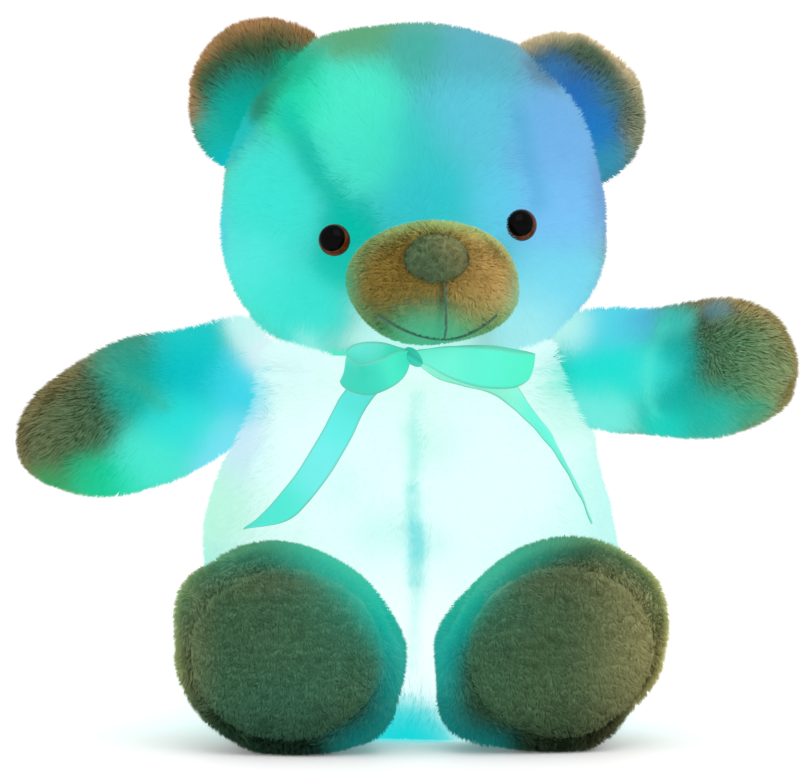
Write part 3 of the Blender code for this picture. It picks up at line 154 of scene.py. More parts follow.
def axes(origin, forward, up):
    """A form's place: local Z runs forward, and local -Y is nearest to up."""
    z = unit(np.array(forward, float))
    x = -unit(np.cross(up, z))
    return np.array(origin, float), np.stack([x, np.cross(z, x), z])


UPRIGHT = (np.zeros(3), np.eye(3))


def make_form(rows, place=UPRIGHT, lean=0.0, swell=lambda points: 0.0):
    """A form: its fine table, each ring's share of the way along the outline, and how it is placed and swollen."""
    rows = np.maximum(fine_rows(rows), (-1.0, 0.0, 0.0, 0.0))
    arc = np.concatenate([[0.0], np.cumsum(np.hypot(*np.diff(rows[:, :2], axis=0).T))])
    return {"rows": rows, "arc": arc / arc[-1], "place": place, "lean": lean, "swell": swell}


def on_form(form, turn, along):
    """x = side cos(turn) + lean, y = depth sin(turn), z = the ring's level; then the form's place."""
    level, side, front, back = (np.interp(along, form["arc"], form["rows"][:, k]) for k in range(4))
    y = np.where(np.sin(turn) < 0, front, back) * np.sin(turn)
    x = side * np.cos(turn) - form["lean"] * np.minimum(y, 0.0)
    origin, ways = form["place"]
    return origin + np.stack([x, y, level], -1) @ ways


def surface(form, turn, along, depth=0.0):
    """Points a depth under the pile's surface, and the way out: the cross product of the two tangents."""
    step, low, high = 0.004, 0.006, 0.994
    inner = np.clip(along, low, high)
    ahead = on_form(form, turn + step, inner) - on_form(form, turn - step, inner)
    upward = on_form(form, turn, inner + step) - on_form(form, turn, inner - step)
    out = unit(np.cross(ahead, upward))
    points = on_form(form, turn, along)
    return points + out * (form["swell"](points) - np.asarray(depth))[..., None], out


def sunk(form, points):
    """How deep points lie in a form, as 1 minus the share of the way from its axis to its surface."""
    origin, ways = form["place"]
    x, y, z = ((points - origin) @ ways.T).T
    x = x + form["lean"] * np.minimum(y, 0.0)
    level, side, front, back = form["rows"].T
    across = np.maximum(np.interp(z, level, side), 1e-6)
    deep = np.maximum(np.where(y < 0, np.interp(z, level, front), np.interp(z, level, back)), 1e-6)
    return np.where((z > level[0]) & (z < level[-1]), 1.0 - np.hypot(x / across, y / deep), -1.0)


print("forms ready")

# %% [markdown]
# ## Light from inside
# The real bear holds a string of coloured lamps, and the pile glows where one is near. Each glow below is a soft
# ball of one colour somewhere in the filling. Where balls overlap, their colours mix by nearness, and far from all
# of them, as in the paws, feet and ear tips, the plain pile shows. Light travels through the filling from front to
# back, so distance counts less that way, and the back of the bear glows like its front.

# %% Glows
DARK_SHARE = 0.06
DEPTH_SHARE = 0.45
WHITE_CYAN = linear(224, 255, 250)
GREEN = linear(26, 222, 176)


def glow_at(points, glows):
    """Colour and share of lamplight. The colour is the mean by weight, and a ball's weight is
    its strength times exp(-(distance / reach)^2)."""
    colour, total = np.zeros((len(points), 3)), np.zeros(len(points))
    for place, reach, strength, tone in glows:
        away = (points - np.array(place) * MM) * (1.0, DEPTH_SHARE, 1.0)
        weight = strength * np.exp(-((away / (reach * MM)) ** 2).sum(1))
        colour += weight[:, None] * tone
        total += weight
    return colour / np.maximum(total, 1e-9)[:, None], total / (total + DARK_SHARE)


print("light and plain pile mix half and half where the weights sum to", DARK_SHARE)

# %% [markdown]
# ## Pile
# A coat of pile is thousands of tufts. Each tuft here is one kite of two triangles that starts on the skin, is
# widest near its middle and ends in a point, and it is bent where the two triangles meet. Neighbours lean towards
# a common tip, as real pile does when it has been stroked. Skin and tufts are one mesh, with two colours at each
# point: the pile's own, and that of the light it glows with.

# %% Pile
PILE_WIDTH = 0.00052
CLUMP_SIZE = 0.0042
FLOOR_CLEARANCE = 0.0002
MIDDLE_SHARE = 0.48
ROOT_DEPTH = 0.0004
STRAY = 0.22
WANDER = 0.45


def scatter(form, count, depth, rng):
    """Places spread evenly over a form: of six times as many, each is kept by its share of the area."""
    turn, along = rng.uniform(0, 2 * np.pi, 6 * count), rng.uniform(0, 1, 6 * count)
    step = 0.003
    inner = np.clip(along, step, 1 - step)
    across = on_form(form, turn + step, inner) - on_form(form, turn - step, inner)
    upward = on_form(form, turn, inner + step) - on_form(form, turn, inner - step)
    area = np.linalg.norm(np.cross(across, upward), axis=1)
    kept = rng.uniform(0, np.quantile(area, 0.995), len(area)) < area
    turn, along = turn[kept][:count], along[kept][:count]
    return turn, along, *surface(form, turn, along, depth)


def form_area(form):
    """The sum of the cross products over a grid of the form."""
    turn, along = np.meshgrid(np.linspace(0, 2 * np.pi, 73), np.linspace(0, 1, 49))
    grid = on_form(form, turn, along)
    across, upward = grid[:-1, 1:] - grid[:-1, :-1], grid[1:, :-1] - grid[:-1, :-1]
    return np.linalg.norm(np.cross(across, upward), axis=-1).sum()


def tufts(roots, out, comb, length, lean, pull, rng, width=PILE_WIDTH):
    """Kites (side, tip, side, root), one for each place. The two halves lean by 0.75 and by 1.35 times lean."""
    count = len(roots)
    along_skin = comb - out * (comb * out).sum(1, keepdims=True)
    along_skin = unit(along_skin) + WANDER * waves(roots, 0.021, 5, 3) + rng.normal(0, STRAY, (count, 3))
    along_skin = unit(along_skin - out * (along_skin * out).sum(1, keepdims=True))
    lean = np.broadcast_to(lean, count) * rng.uniform(0.75, 1.2, count)
    size = np.broadcast_to(length, count) * rng.uniform(0.72, 1.08, count)

    def heading(angle):
        return out * np.cos(angle)[:, None] + along_skin * np.sin(angle)[:, None]

    first, last = heading(lean * 0.75), heading(lean * 1.35)
    middle = roots + first * (size * MIDDLE_SHARE)[:, None]
    tip = middle + last * (size * (1 - MIDDLE_SHARE))[:, None]
    cells = np.floor((roots + WANDER * CLUMP_SIZE * waves(roots, 0.009, 8, 3)) / CLUMP_SIZE).astype(np.int64)
    _, clump = np.unique(cells @ np.array((1, 4001, 16008001)), return_inverse=True)
    members = np.bincount(clump)
    centre = np.stack([np.bincount(clump, tip[:, k]) / members for k in range(3)], 1)[clump]
    tip += (centre - tip) * pull
    middle += (centre - middle) * pull * 0.25
    level = np.cross(out, along_skin)
    twist = rng.uniform(-1.1, 1.1, count)[:, None]
    across = level * np.cos(twist) + np.cross(first, level) * np.sin(twist)
    across *= (width / 2 * rng.uniform(0.7, 1.25, count))[:, None]
    kites = np.stack([middle - across, tip, middle + across, roots - out * ROOT_DEPTH], 1)
    kites[:, :, 2] = np.maximum(kites[:, :, 2], FLOOR_CLEARANCE)
    shade = rng.normal(0, 0.07, count) + rng.normal(0, 0.05, members.size)[clump]
    return kites, shade


def quads(shape):
    """The faces of a grid: each takes a point, the next in its row, and the two below these in the next row."""
    index = np.arange(shape[0] * shape[1]).reshape(shape)
    return np.stack([index[:-1, :-1], index[:-1, 1:], index[1:, 1:], index[1:, :-1]], -1).reshape(-1, 4)


def skin_grid(form, depth, around=96, along=64):
    """A closed grid over the form: rings of points, and each pole one ring drawn together to a point."""
    turn, way = np.meshgrid(np.linspace(0, 2 * np.pi, around + 1), np.linspace(0, 1, along + 1))
    points, out = surface(form, turn, way, depth)
    for end in (0, -1):
        points[end] = points[end].mean(0)
        out[end] = unit(out[end].mean(0))
    chart = np.stack([turn / (2 * np.pi), way], -1).reshape(-1, 2)
    return points.reshape(-1, 3), out.reshape(-1, 3), quads(turn.shape), chart


def new_mesh(name, points, faces, smooth=True):
    """A mesh from arrays of points and faces of one size, by foreach_set."""
    mesh = bpy.data.meshes.new(name)
    mesh.vertices.add(len(points))
    mesh.vertices.foreach_set("co", np.ascontiguousarray(points, np.float32).ravel())
    mesh.loops.add(faces.size)
    mesh.loops.foreach_set("vertex_index", np.ascontiguousarray(faces, np.int32).ravel())
    mesh.polygons.add(len(faces))
    mesh.polygons.foreach_set("loop_start", np.arange(0, faces.size, faces.shape[1], dtype=np.int32))
    mesh.update(calc_edges=True)
    if smooth:
        mesh.shade_smooth()
    obj = bpy.data.objects.new(name, mesh)
    bpy.context.scene.collection.objects.link(obj)
    return obj


def write_colour(mesh, name, colour):
    """Keeps a colour for each point in the mesh, under a name that a material can read."""
    values = np.ones((len(colour), 4), np.float32)
    values[:, :3] = colour
    mesh.attributes.new(name, "FLOAT_COLOR", "POINT").data.foreach_set("color", values.ravel())


def write_chart(mesh, faces, chart):
    """The piece's own UV map, one place in the unit square for each point, kept a hundredth inside its border."""
    layer = mesh.uv_layers.new(name="OFBake")
    inside = 0.01 + 0.98 * chart[faces.ravel()]
    layer.uv.foreach_set("vector", np.ascontiguousarray(inside, np.float32).ravel())


print("pile ready")

# %% [markdown]
# ## Finishes
# Every finish is one Principled shader, uneven in the way its real surface is. The pile reads its two colours from
# the mesh. The rest read noise in the object's own coordinates through one shared group, so that nothing is flat.


# %% Finishes
def uneven_group():
    """A value between Low and High that wanders through space: noise of a Size in metres, and some finer noise."""
    group = bpy.data.node_groups.new("uneven", "ShaderNodeTree")
    for name, value in (("Size", 0.01), ("Low", 0.0), ("High", 1.0)):
        group.interface.new_socket(name, in_out="INPUT", socket_type="NodeSocketFloat").default_value = value
    group.interface.new_socket("Value", in_out="OUTPUT", socket_type="NodeSocketFloat")
    made = group.nodes.new
    given, result = made("NodeGroupInput"), made("NodeGroupOutput")
    place, noise, spread = made("ShaderNodeTexCoord"), made("ShaderNodeTexNoise"), made("ShaderNodeMapRange")
    scale = made("ShaderNodeMath")
    scale.operation = "DIVIDE"
    scale.inputs[0].default_value = 1.0
    noise.inputs["Detail"].default_value = 3.0
    spread.inputs["From Min"].default_value = 0.3
    spread.inputs["From Max"].default_value = 0.7
    join = group.links.new
    join(given.outputs["Size"], scale.inputs[1])
    join(scale.outputs["Value"], noise.inputs["Scale"])
    join(place.outputs["Object"], noise.inputs["Vector"])
    join(noise.outputs["Fac"], spread.inputs["Value"])
    join(given.outputs["Low"], spread.inputs["To Min"])
    join(given.outputs["High"], spread.inputs["To Max"])
    join(spread.outputs["Result"], result.inputs["Value"])
    return group


UNEVEN = uneven_group()


def finish(name, colour, rough, size=0.004, vary=0.12, **constants):
    """A Principled finish whose colour and roughness both wander by a share called vary."""
    material = bpy.data.materials.new(name)
    material.use_nodes = True
    tree = material.node_tree
    shader = tree.nodes["Principled BSDF"]
    for socket, value in constants.items():
        shader.inputs[socket.replace("_", " ")].default_value = value
    if colour is not None:
        tone, mix = tree.nodes.new("ShaderNodeGroup"), tree.nodes.new("ShaderNodeMix")
        tone.node_tree = UNEVEN
        tone.inputs["Size"].default_value = size
        mix.data_type = "RGBA"
        mix.inputs["A"].default_value = (*np.array(colour) * (1 - vary), 1.0)
        mix.inputs["B"].default_value = (*np.minimum(np.array(colour) * (1 + vary), 1.0), 1.0)
        tree.links.new(tone.outputs["Value"], mix.inputs["Factor"])
        tree.links.new(mix.outputs["Result"], shader.inputs["Base Color"])
    wear = tree.nodes.new("ShaderNodeGroup")
    wear.node_tree = UNEVEN
    wear.inputs["Size"].default_value = size * 0.6
    wear.inputs["Low"].default_value = rough * (1 - vary)
    wear.inputs["High"].default_value = min(rough * (1 + vary), 1.0)
    tree.links.new(wear.outputs["Value"], shader.inputs["Roughness"])
    return material


def pile_finish(name, rough=0.9, sheen=0.006, shine=0.02):
    """The base colour is the mesh's attribute pile, and the emission its attribute glow."""
    material = finish(name, None, rough, size=0.012, Sheen_Weight=sheen, Specular_IOR_Level=shine)
    tree = material.node_tree
    shader = tree.nodes["Principled BSDF"]
    for attribute, socket in (("pile", "Base Color"), ("glow", "Emission Color")):
        reader = tree.nodes.new("ShaderNodeAttribute")
        reader.attribute_name = attribute
        tree.links.new(reader.outputs["Color"], shader.inputs[socket])
    shader.inputs["Emission Strength"].default_value = 1.0
    material.cycles.emission_sampling = "NONE"
    return material


PLUSH = pile_finish("plush")
print("made the finish", PLUSH.name, "and the shared group", UNEVEN.name)

# %% [markdown]
# ## The shapes of the bear
# These tables say how far each form swells, ring by ring, from one end to the other. They follow the frame's
# solids. A form's pile ends at its solid's surface, wavering by about a millimetre. Seams draw it in, and soft
# bumps raise or flatten it where the stuffing is pressed.

# %% Shapes
OLIVE = linear(102, 148, 112)
OLIVE_DARK = linear(84, 130, 94)
SOLE_GREEN = linear(82, 136, 106)
SOLE_OLIVE = linear(92, 128, 88)
END_AND_HIGHLIGHT_TAN = linear(142, 142, 98)
SIDE_LIGHT_TAN = linear(184, 178, 124)
SOLE_BROWN = linear(118, 126, 84)
TAN = linear(160, 144, 100)
FACE_YAW = math.radians(6.0)


def rows_of(shares, length, side, front, back, start=0.0):
    """A table of shares made real: each ring's level, and its reach to the side, the front and the back."""
    return np.array(shares) * (length, side, front, back) + (start, 0.0, 0.0, 0.0)


def wobble(size, amount, seams=(), bumps=()):
    """How far the surface stands out: waves of a size in metres, less the seams' grooves, plus soft bumps."""
    def swell(points):
        found = amount * waves(points, size, 11)
        for spot, reach, height in bumps:
            found = found + height * MM * nearness(points, [np.array(spot) * MM], reach * MM)
        for line, width, depth, *_ in seams:
            found = found - depth * nearness(points, line, width)
        return found

    return swell


def nearness(points, line, width):
    """exp(-(d / width)^2) of the distance d to the nearest of a line's points."""
    flat = points.reshape(-1, 3)
    nearest = np.full(len(flat), 1e9)
    for spot in line:
        nearest = np.minimum(nearest, ((flat - spot) ** 2).sum(1))
    return np.exp(-nearest / width**2).reshape(points.shape[:-1])


def front_line(form, places, count=24):
    """Points on the front of an upright form, over a smooth run through places (x, z) in millimetres."""
    places = np.array(places, float) * MM
    share = np.linspace(0, len(places) - 1, count)
    x, z = (np.interp(share, np.arange(len(places)), places[:, k]) for k in (0, 1))
    return np.stack([x, front_y(form, x, z), z], 1)


def front_y(form, x, z, sign=-1.0):
    """The Y of an upright form's front (or back) at places seen from there: depth times sqrt(1 - (x / side)^2)."""
    level, side, front, back = form["rows"].T
    deep = np.interp(z, level, front if sign < 0 else back)
    return sign * deep * np.sqrt(np.maximum(1 - (x / np.interp(z, level, side)) ** 2, 0.0))


body_plain = make_form(rows_of(
    ((0, 0, 0, 0), (0.032, 0.76, 0.86, 0.718), (0.133, 0.94, 0.965, 0.897), (0.277, 1, 1, 0.974),
     (0.464, 1, 1, 1), (0.784, 0.891, 0.872, 0.872), (0.885, 0.815, 0.77, 0.79), (0.948, 0.735, 0.69, 0.72),
     (0.98, 0.64, 0.62, 0.65), (1.0, 0, 0, 0)), 0.1875, 0.101, 0.086, 0.078, -0.007))
head_plain = make_form(rows_of(
    ((0, 0, 0, 0), (0.013, 0.511, 0.526, 0.528), (0.055, 0.745, 0.737, 0.75), (0.119, 0.872, 0.868, 0.861),
     (0.222, 0.968, 0.974, 0.958), (0.35, 1, 1, 1), (0.55, 0.982, 0.96, 0.99), (0.7, 0.89, 0.875, 0.925),
     (0.808, 0.785, 0.765, 0.825), (0.9, 0.64, 0.615, 0.675), (0.962, 0.465, 0.435, 0.49), (1, 0, 0, 0)),
    0.157, 0.094, 0.076, 0.072, 0.1858))
belly_seam = (front_line(body_plain, ((1, 172), (1, 120), (1, 86), (0, 40), (-2, 8))), 0.0026, 0.0014)
belly_pinch = (front_line(body_plain, ((-1, 119), (0, 109), (1, 98), (2, 88), (3, 78))), 0.0026, 0.0016)
dart_seam = (front_line(head_plain, ((-62, 300), (-55, 288), (-48, 274), (-41, 262), (-35, 253), (-28, 243))),
             0.0045, 0.0026)
brow_seam = (front_line(head_plain, ((50, 296), (54, 276), (60, 256))), 0.0045, 0.0015)
shoulder_bumps = [((x, y, 180), 23, 10) for x in (-68, 68) for y in (-20, 22)]
body = {**body_plain, "swell": wobble(0.055, 0.0010, [belly_seam, belly_pinch],
                                     [*shoulder_bumps, ((-97, 0, 114), 24, 4)])}
head = {**head_plain, "swell": wobble(0.050, 0.0010, [dart_seam, brow_seam])}


def face_place(x, reach, height):
    """A place on the face, turned with it a little to the bear's left."""
    c, s = math.cos(FACE_YAW), math.sin(FACE_YAW)
    return (x * c + reach * s, x * s - reach * c, height)


def face_way(turn=0.0):
    """The way that the face looks, or a way turned from it to the bear's left."""
    return (math.sin(FACE_YAW + turn), -math.cos(FACE_YAW + turn), 0.0)


UP = (0.0, 0.0, 1.0)
muzzle_rows = rows_of(
    ((0, 0, 0, 0), (0.03, 0.56, 0.56, 0.56), (0.2, 0.88, 0.88, 0.88), (0.42, 1, 1, 1), (0.62, 0.95, 0.94, 0.95),
     (0.78, 0.82, 0.8, 0.82), (0.9, 0.62, 0.6, 0.62), (0.972, 0.35, 0.34, 0.35), (1, 0, 0, 0)),
    0.060, 0.0415, 0.0305, 0.0292)
muzzle_place = axes(face_place(0.0016, 0.0475, 0.2160), face_way(), UP)
muzzle = make_form(muzzle_rows, muzzle_place)
nose = make_form(rows_of(
    ((0, 0, 0, 0), (0.06, 0.6, 0.6, 0.6), (0.3, 0.93, 0.93, 0.93), (0.55, 1, 1, 1), (0.8, 0.86, 0.82, 0.82),
     (0.94, 0.52, 0.48, 0.48), (1, 0, 0, 0)),
    0.0150, 0.0155, 0.0122, 0.0135), axes(face_place(0.0, 0.0960, 0.2275), face_way(), UP))
EAR_RADIUS, EAR_THICKNESS = 0.0397, 0.026
ear_rows = rows_of(
    ((0, 0, 0, 0), (0.05, 0.58, 0.58, 0.58), (0.2, 0.88, 0.88, 0.88), (0.5, 1, 1, 1), (0.8, 0.88, 0.88, 0.88),
     (0.95, 0.58, 0.58, 0.58), (1, 0, 0, 0)),
    EAR_THICKNESS, EAR_RADIUS, EAR_RADIUS, EAR_RADIUS, -EAR_THICKNESS / 2)
SIDES = {"right": -1.0, "left": 1.0}
ears, arms, legs = {}, {}, {}
EAR_PLACES = {"right": (-0.0725, 0.004, 0.3068), "left": (0.0755, 0.004, 0.2995)}
EAR_TURN = math.radians(12.0)
for side, sign in SIDES.items():
    ear_way = (math.sin(sign * EAR_TURN), -math.cos(EAR_TURN), 0)
    ears[side] = make_form(ear_rows, axes(EAR_PLACES[side], ear_way, UP))


def limb(ball_radius, shares, length, side, front, back, place, lean=0.0):
    """A limb's form: it starts inside the ball that it turns on, and swells towards its end."""
    root = np.array(((-0.45, 0, 0, 0), (-0.36, 0.55, 0.55, 0.55), (0.05, 0.86, 0.86, 0.86))) * ball_radius
    return make_form(np.vstack([root, rows_of(shares, length, side, front, back)]), place, lean)


ARM_SHARES = {
    "right": ((0.19, 0.9, 0.9, 0.9), (0.4, 1, 0.96, 0.96), (0.62, 0.965, 0.93, 0.93), (0.79, 0.805, 0.79, 0.79),
              (0.9, 0.58, 0.57, 0.57), (0.968, 0.32, 0.32, 0.32), (1, 0, 0, 0)),
    "left": ((0.15, 0.905, 0.905, 0.905), (0.34, 0.93, 0.93, 0.93), (0.53, 0.985, 0.985, 0.985), (0.68, 1, 1, 1),
             (0.83, 0.86, 0.86, 0.86), (0.93, 0.6, 0.6, 0.6), (1, 0, 0, 0)),
}
ARM_POSES = {"right": (0.1705, 0.0732, 20.0, 5.0), "left": (0.1715, 0.0668, -3.5, 33.0)}
LEG_SHARES = ((0.25, 0.82, 0.87, 0.93), (0.5, 0.935, 0.96, 1), (0.75, 1, 1, 0.985), (0.88, 0.97, 0.965, 0.935),
              (0.955, 0.82, 0.815, 0.78), (0.988, 0.48, 0.48, 0.46), (1, 0, 0, 0))
LEG_POSES = {"right": (0.1040, 6.0, 0.24), "left": (0.0930, 13.0, 0.26)}
SHOULDER_RADIUS, ARM_LENGTH = 0.0305, 0.1165
HIP_RADIUS, FOOT_WIDTH = 0.038, 0.1065
for side, sign in SIDES.items():
    height, thick, droop, ahead = ARM_POSES[side]
    droop, ahead = math.radians(droop), math.radians(ahead)
    way = (sign * math.cos(ahead) * math.cos(droop), -math.sin(ahead) * math.cos(droop), -math.sin(droop))
    arms[side] = limb(SHOULDER_RADIUS, ARM_SHARES[side], ARM_LENGTH, thick / 2, thick / 2, thick / 2,
                      axes((sign * 0.083, 0.0, height), way, (0, -1, 0)))
    length, splay = LEG_POSES[side][0], math.radians(LEG_POSES[side][1])
    legs[side] = limb(HIP_RADIUS, LEG_SHARES, length, FOOT_WIDTH / 2, 0.0508, 0.0505,
                      axes((sign * 0.048, -0.046, 0.047), (sign * math.sin(splay), -math.cos(splay), 0), UP),
                      lean=-sign * LEG_POSES[side][2])
BUMPS = {"ear_right": [((-62, -9, 304), 12, 9)],
         "ear_left": [((60, -9, 314), 11, 8), ((97, 0, 331), 13, -5), ((118, -5, 288), 14, 3)],
         "arm_right": [((-76, 0, 196), 20, 9)],
         "arm_left": [((76, 0, 196), 17, 4), ((112, -55, 206), 20, -5), ((122, -60, 140), 26, 4)],
         "leg_right": [((-18, -132, 18), 15, 5), ((-18, -108, 17), 15, 5), ((-9, -120, 61), 14, -3),
                       ((-86, -118, 91), 16, -5)],
         "leg_left": [((25, -128, 21), 16, 8), ((25, -104, 20), 16, 8), ((13, -112, 61), 14, -3),
                      ((102, -122, 17), 17, -4), ((104, -100, 17), 15, -3)]}
muzzle["swell"] = wobble(0.045, 0.0009)
for side in SIDES:
    arms[side]["swell"] = wobble(0.045, 0.0009, bumps=BUMPS[f"arm_{side}"])
    legs[side]["swell"] = wobble(0.045, 0.0009, bumps=BUMPS[f"leg_{side}"])
    ears[side]["swell"] = wobble(0.045, 0.0009, bumps=BUMPS[f"ear_{side}"])
print("body area", round(form_area(body) * 1e4), "square cm, head", round(form_area(head) * 1e4))

# %% [markdown]
# ## Coats
# One function dresses a form. It lays a skin under the form's surface, scatters roots over the skin, and grows a
# tuft from each, long enough to reach the surface. Roots that lie deep inside a neighbour are left out, because a
# sewn toy has no pile inside its seams. Tufts are painted darker near the skin and lighter at their tips: painted
# shade and light, as they fall in real pile.

# %% Coats
# Painted shade and light along each tuft: darker at the root, lighter at the tip.
ROOT_LIGHT, MIDDLE_LIGHT, TIP_LIGHT = 0.70, 0.94, 1.08
LIT_EVENNESS = 0.80
LIT_PILE_LOSS = 0.96
SHADE_SHARES = (0.6, 1.0, 0.6, 0.2)


def draws(kind, name):
    """A piece's own source of random numbers, so that a change to one piece leaves the others as they are."""
    return np.random.default_rng([kind, *(ord(letter) for letter in name)])


def plain_pile(points, out):
    """Olive where the pile faces front or back, and tan at the rims, where light comes through it."""
    rim = 1 - ramp(np.abs(out[:, 1]), 0.30, 0.92)
    patch = ramp(waves(points, 0.05, 21), -1.0, 1.2)[:, None]
    front = OLIVE * (1 - patch * 0.45) + OLIVE_DARK * patch * 0.45
    return front + (TAN - front) * rim[:, None]


def seam_shades(glow, points, seams):
    """Along each seam the glow turns to a darker tone: painted shade in the seam's groove."""
    for line, width, _, tone, strength in seams:
        near = (strength * nearness(points, line, width * 1.3))[:, None]
        glow = glow + (tone - glow) * near
    return glow


def standing(length, lean):
    """How far tufts of a length stand off the skin: the sum of their two parts' heights, a little shortened."""
    return length * (MIDDLE_SHARE * math.cos(0.75 * lean) + (1 - MIDDLE_SHARE) * math.cos(1.35 * lean)) * 0.93


def dress(name, skin, places, glows, comb, length, lean, pull=0.30, pile=plain_pile, seams=(), width=PILE_WIDTH,
          longer=lambda points: 0.0, relief=1.0):
    """Tufts on a skin, in one mesh. skin is (points, out, faces, chart), and places (roots, out, chart)."""
    points, out, faces, chart = skin
    roots, root_out, root_chart = places
    rng = draws(0, name)
    stand = standing(length, lean)
    thick = width * 1.0
    kites, shade = tufts(roots, root_out, comb(roots, root_out), length + longer(roots), lean, pull, rng, thick)

    def look(spots, outward):
        glow, share = glow_at(spots, glows)
        glow, share = seam_shades(glow, spots, seams), share[:, None]
        return glow * share, pile(spots, outward) * (1 - LIT_PILE_LOSS * share), 1 - LIT_EVENNESS * share

    skin_glow, skin_pile, skin_bare = look(points + out * stand, out)
    tuft_glow, tuft_pile, tuft_bare = look(roots + root_out * stand, root_out)
    light = np.array((MIDDLE_LIGHT, TIP_LIGHT, MIDDLE_LIGHT, ROOT_LIGHT)) + shade[:, None] * SHADE_SHARES
    # This contrast scales the painted shade from root to tip and each tuft's random tone, and lit pile evens it
    # out.
    light = (1 + (light - 1) * relief * tuft_bare)[:, :, None]
    skin_light = 1 + (ROOT_LIGHT - 1) * relief * skin_bare
    first = len(points)
    every = np.vstack([points, kites.reshape(-1, 3)])
    corners = np.vstack([faces, first + np.arange(len(kites) * 4).reshape(-1, 4)])
    obj = new_mesh(name, np.maximum(every, (-9.0, -9.0, FLOOR_CLEARANCE)), corners)
    for attribute, bare, tuft in (("glow", skin_glow, tuft_glow), ("pile", skin_pile, tuft_pile)):
        lit_tufts = (tuft[:, None] * light).reshape(-1, 3)
        write_colour(obj.data, attribute, np.vstack([bare * skin_light, lit_tufts]))
    leaf = np.array(((-0.0008, 0.001), (0.0, 0.002), (0.0008, 0.001), (0.0, 0.0)))
    every_chart = np.vstack([chart, (root_chart[:, None] + leaf).reshape(-1, 2)])
    write_chart(obj.data, corners, np.clip(every_chart, 0, 1))
    obj.data.materials.append(PLUSH)
    print(name, len(kites), "tufts")
    return obj


def coat(name, form, glows, comb, length=0.008, dense=1.9, lean=0.62, hidden_by=(), shown=None, skin_shown=None,
         around=96, along=64, fill=0.9, **look):
    """The whole coat of one form: a skin under its surface, and tufts scattered over it."""
    rng = draws(1, name)
    stand = standing(length, lean)
    points, out, faces, chart = skin_grid(form, stand, around, along)
    if skin_shown is not None:
        faces = faces[skin_shown(points[faces].mean(1))]
    count = int(form_area(form) * 1e6 * dense * (1.0))
    turn, way, roots, root_out = scatter(form, count, stand, rng)
    kept = np.ones(len(roots), bool)
    for other, margin in hidden_by:
        kept &= sunk(other, roots) < margin
    if shown is not None:
        kept &= shown(roots)
    root_chart = np.stack([turn / (2 * np.pi), way], 1)
    obj = dress(name, (points, out, faces, chart), (roots[kept], root_out[kept], root_chart[kept]), glows, comb,
                length, lean, **look)
    return obj


def downward(sideways=0.0):
    """Pile that falls: down, and a share of the way outwards from the middle."""
    def comb(points, out):
        return np.stack([sideways * np.sign(points[:, 0]) * ramp(np.abs(points[:, 0]), 0, 0.02),
                         np.zeros(len(points)), -np.ones(len(points))], 1)

    return comb


def away_from(spot, fall=0.3):
    """Pile stroked away from a spot in millimetres, and a little down."""
    return lambda points, out: unit(points - np.array(spot) * MM) - np.array((0.0, 0.0, fall))


print("coats ready")

# %% [markdown]
# ## Body
# The body is one stuffed bag of pile with a seam down its middle, where the glow is painted darker as shade. Its
# light is the strongest of all, near white at the belly, with cyan where it sits on the table and mint and lavender
# towards the sides.

# %% Body
body_glows = [
    ((1, -80, 124), 44, 6.0, WHITE_CYAN * 1.10),
    ((-38, -70, 132), 28, 3.0, WHITE_CYAN * 1.10),
    ((44, -70, 120), 32, 4.0, WHITE_CYAN * 1.12),
    ((0, -70, 168), 30, 3.0, linear(212, 253, 244) * 1.05),
    ((-60, -20, 184), 17, 3.0, linear(212, 248, 248) * 1.05),
    ((68, -20, 186), 18, 3.0, linear(215, 250, 250) * 1.05),
    ((73, -45, 160), 9, 3.0, linear(206, 251, 244)),
    ((70, -50, 160), 14, 2.5, linear(190, 249, 236)),
    ((-97, 0, 114), 20, 4.0, linear(186, 248, 226)),
    ((-86, -20, 140), 15, 3.0, linear(200, 232, 252)),
    ((91, -10, 112), 22, 3.0, linear(190, 250, 244)),
    ((62, -50, 84), 22, 2.4, linear(200, 250, 246)),
    ((-60, -50, 88), 20, 2.4, linear(214, 252, 246)),
    ((-17, -80, 103), 11, 2.6, linear(170, 242, 234)),
    ((-6, -84, 101), 8, 3.0, linear(176, 242, 240)),
    ((10, -82, 96), 7, 2.6, linear(176, 240, 240)),
    ((10, -84, 142), 10, 4.0, linear(182, 248, 230)),
    ((-34, -80, 124), 11, 1.8, linear(150, 238, 232)),
    ((-86, -25, 162), 9, 5.0, linear(90, 220, 240)),
    ((-86, -25, 172), 10, 3.0, linear(110, 224, 240)),
    ((84, -25, 176), 13, 7.0, linear(64, 232, 214)),
    ((73, -40, 171), 8, 3.0, linear(96, 240, 208)),
    ((-92, 30, 60), 32, 1.0, linear(150, 240, 236)),
    ((92, 30, 60), 32, 1.0, linear(160, 244, 240)),
    ((0, -80, 48), 26, 7.0, linear(240, 255, 255) * 1.08),
    ((-4, -80, 22), 14, 3.0, linear(226, 252, 254)),
    ((-4, -80, 6), 10, 80.0, linear(0, 214, 218)),
    ((0, 78, 120), 55, 3.0, linear(205, 255, 245)),
    ((-50, 70, 60), 30, 1.6, linear(150, 246, 226)),
    ((46, 70, 150), 26, 1.4, linear(180, 236, 252)),
    ((0, 70, 26), 44, 1.8, linear(90, 234, 232)),
]
FLAP_HALF, FLAP_LOW, FLAP_HIGH = 0.0340, 0.0240, 0.1350
MOUTH_HALF, MOUTH_LOW, MOUTH_HIGH = 0.0273, 0.0431, 0.1281


def behind(points, half, low, high):
    """Whether points lie at the back, within a rectangle seen from there."""
    x, y, z = points.T
    return (y > 0) & (np.abs(x) < half) & (z > low) & (z < high)


def shoulder_pile(points):
    """Up to 6 mm more on top, outside the bow, where body, arms and jaw press together."""
    away = np.hypot(points[:, 0], np.maximum(points[:, 1] + 0.02, 0))
    return 0.006 * ramp(points[:, 2], 0.166, 0.176) * ramp(away, 0.026, 0.040) * (1 - ramp(away, 0.056, 0.070))


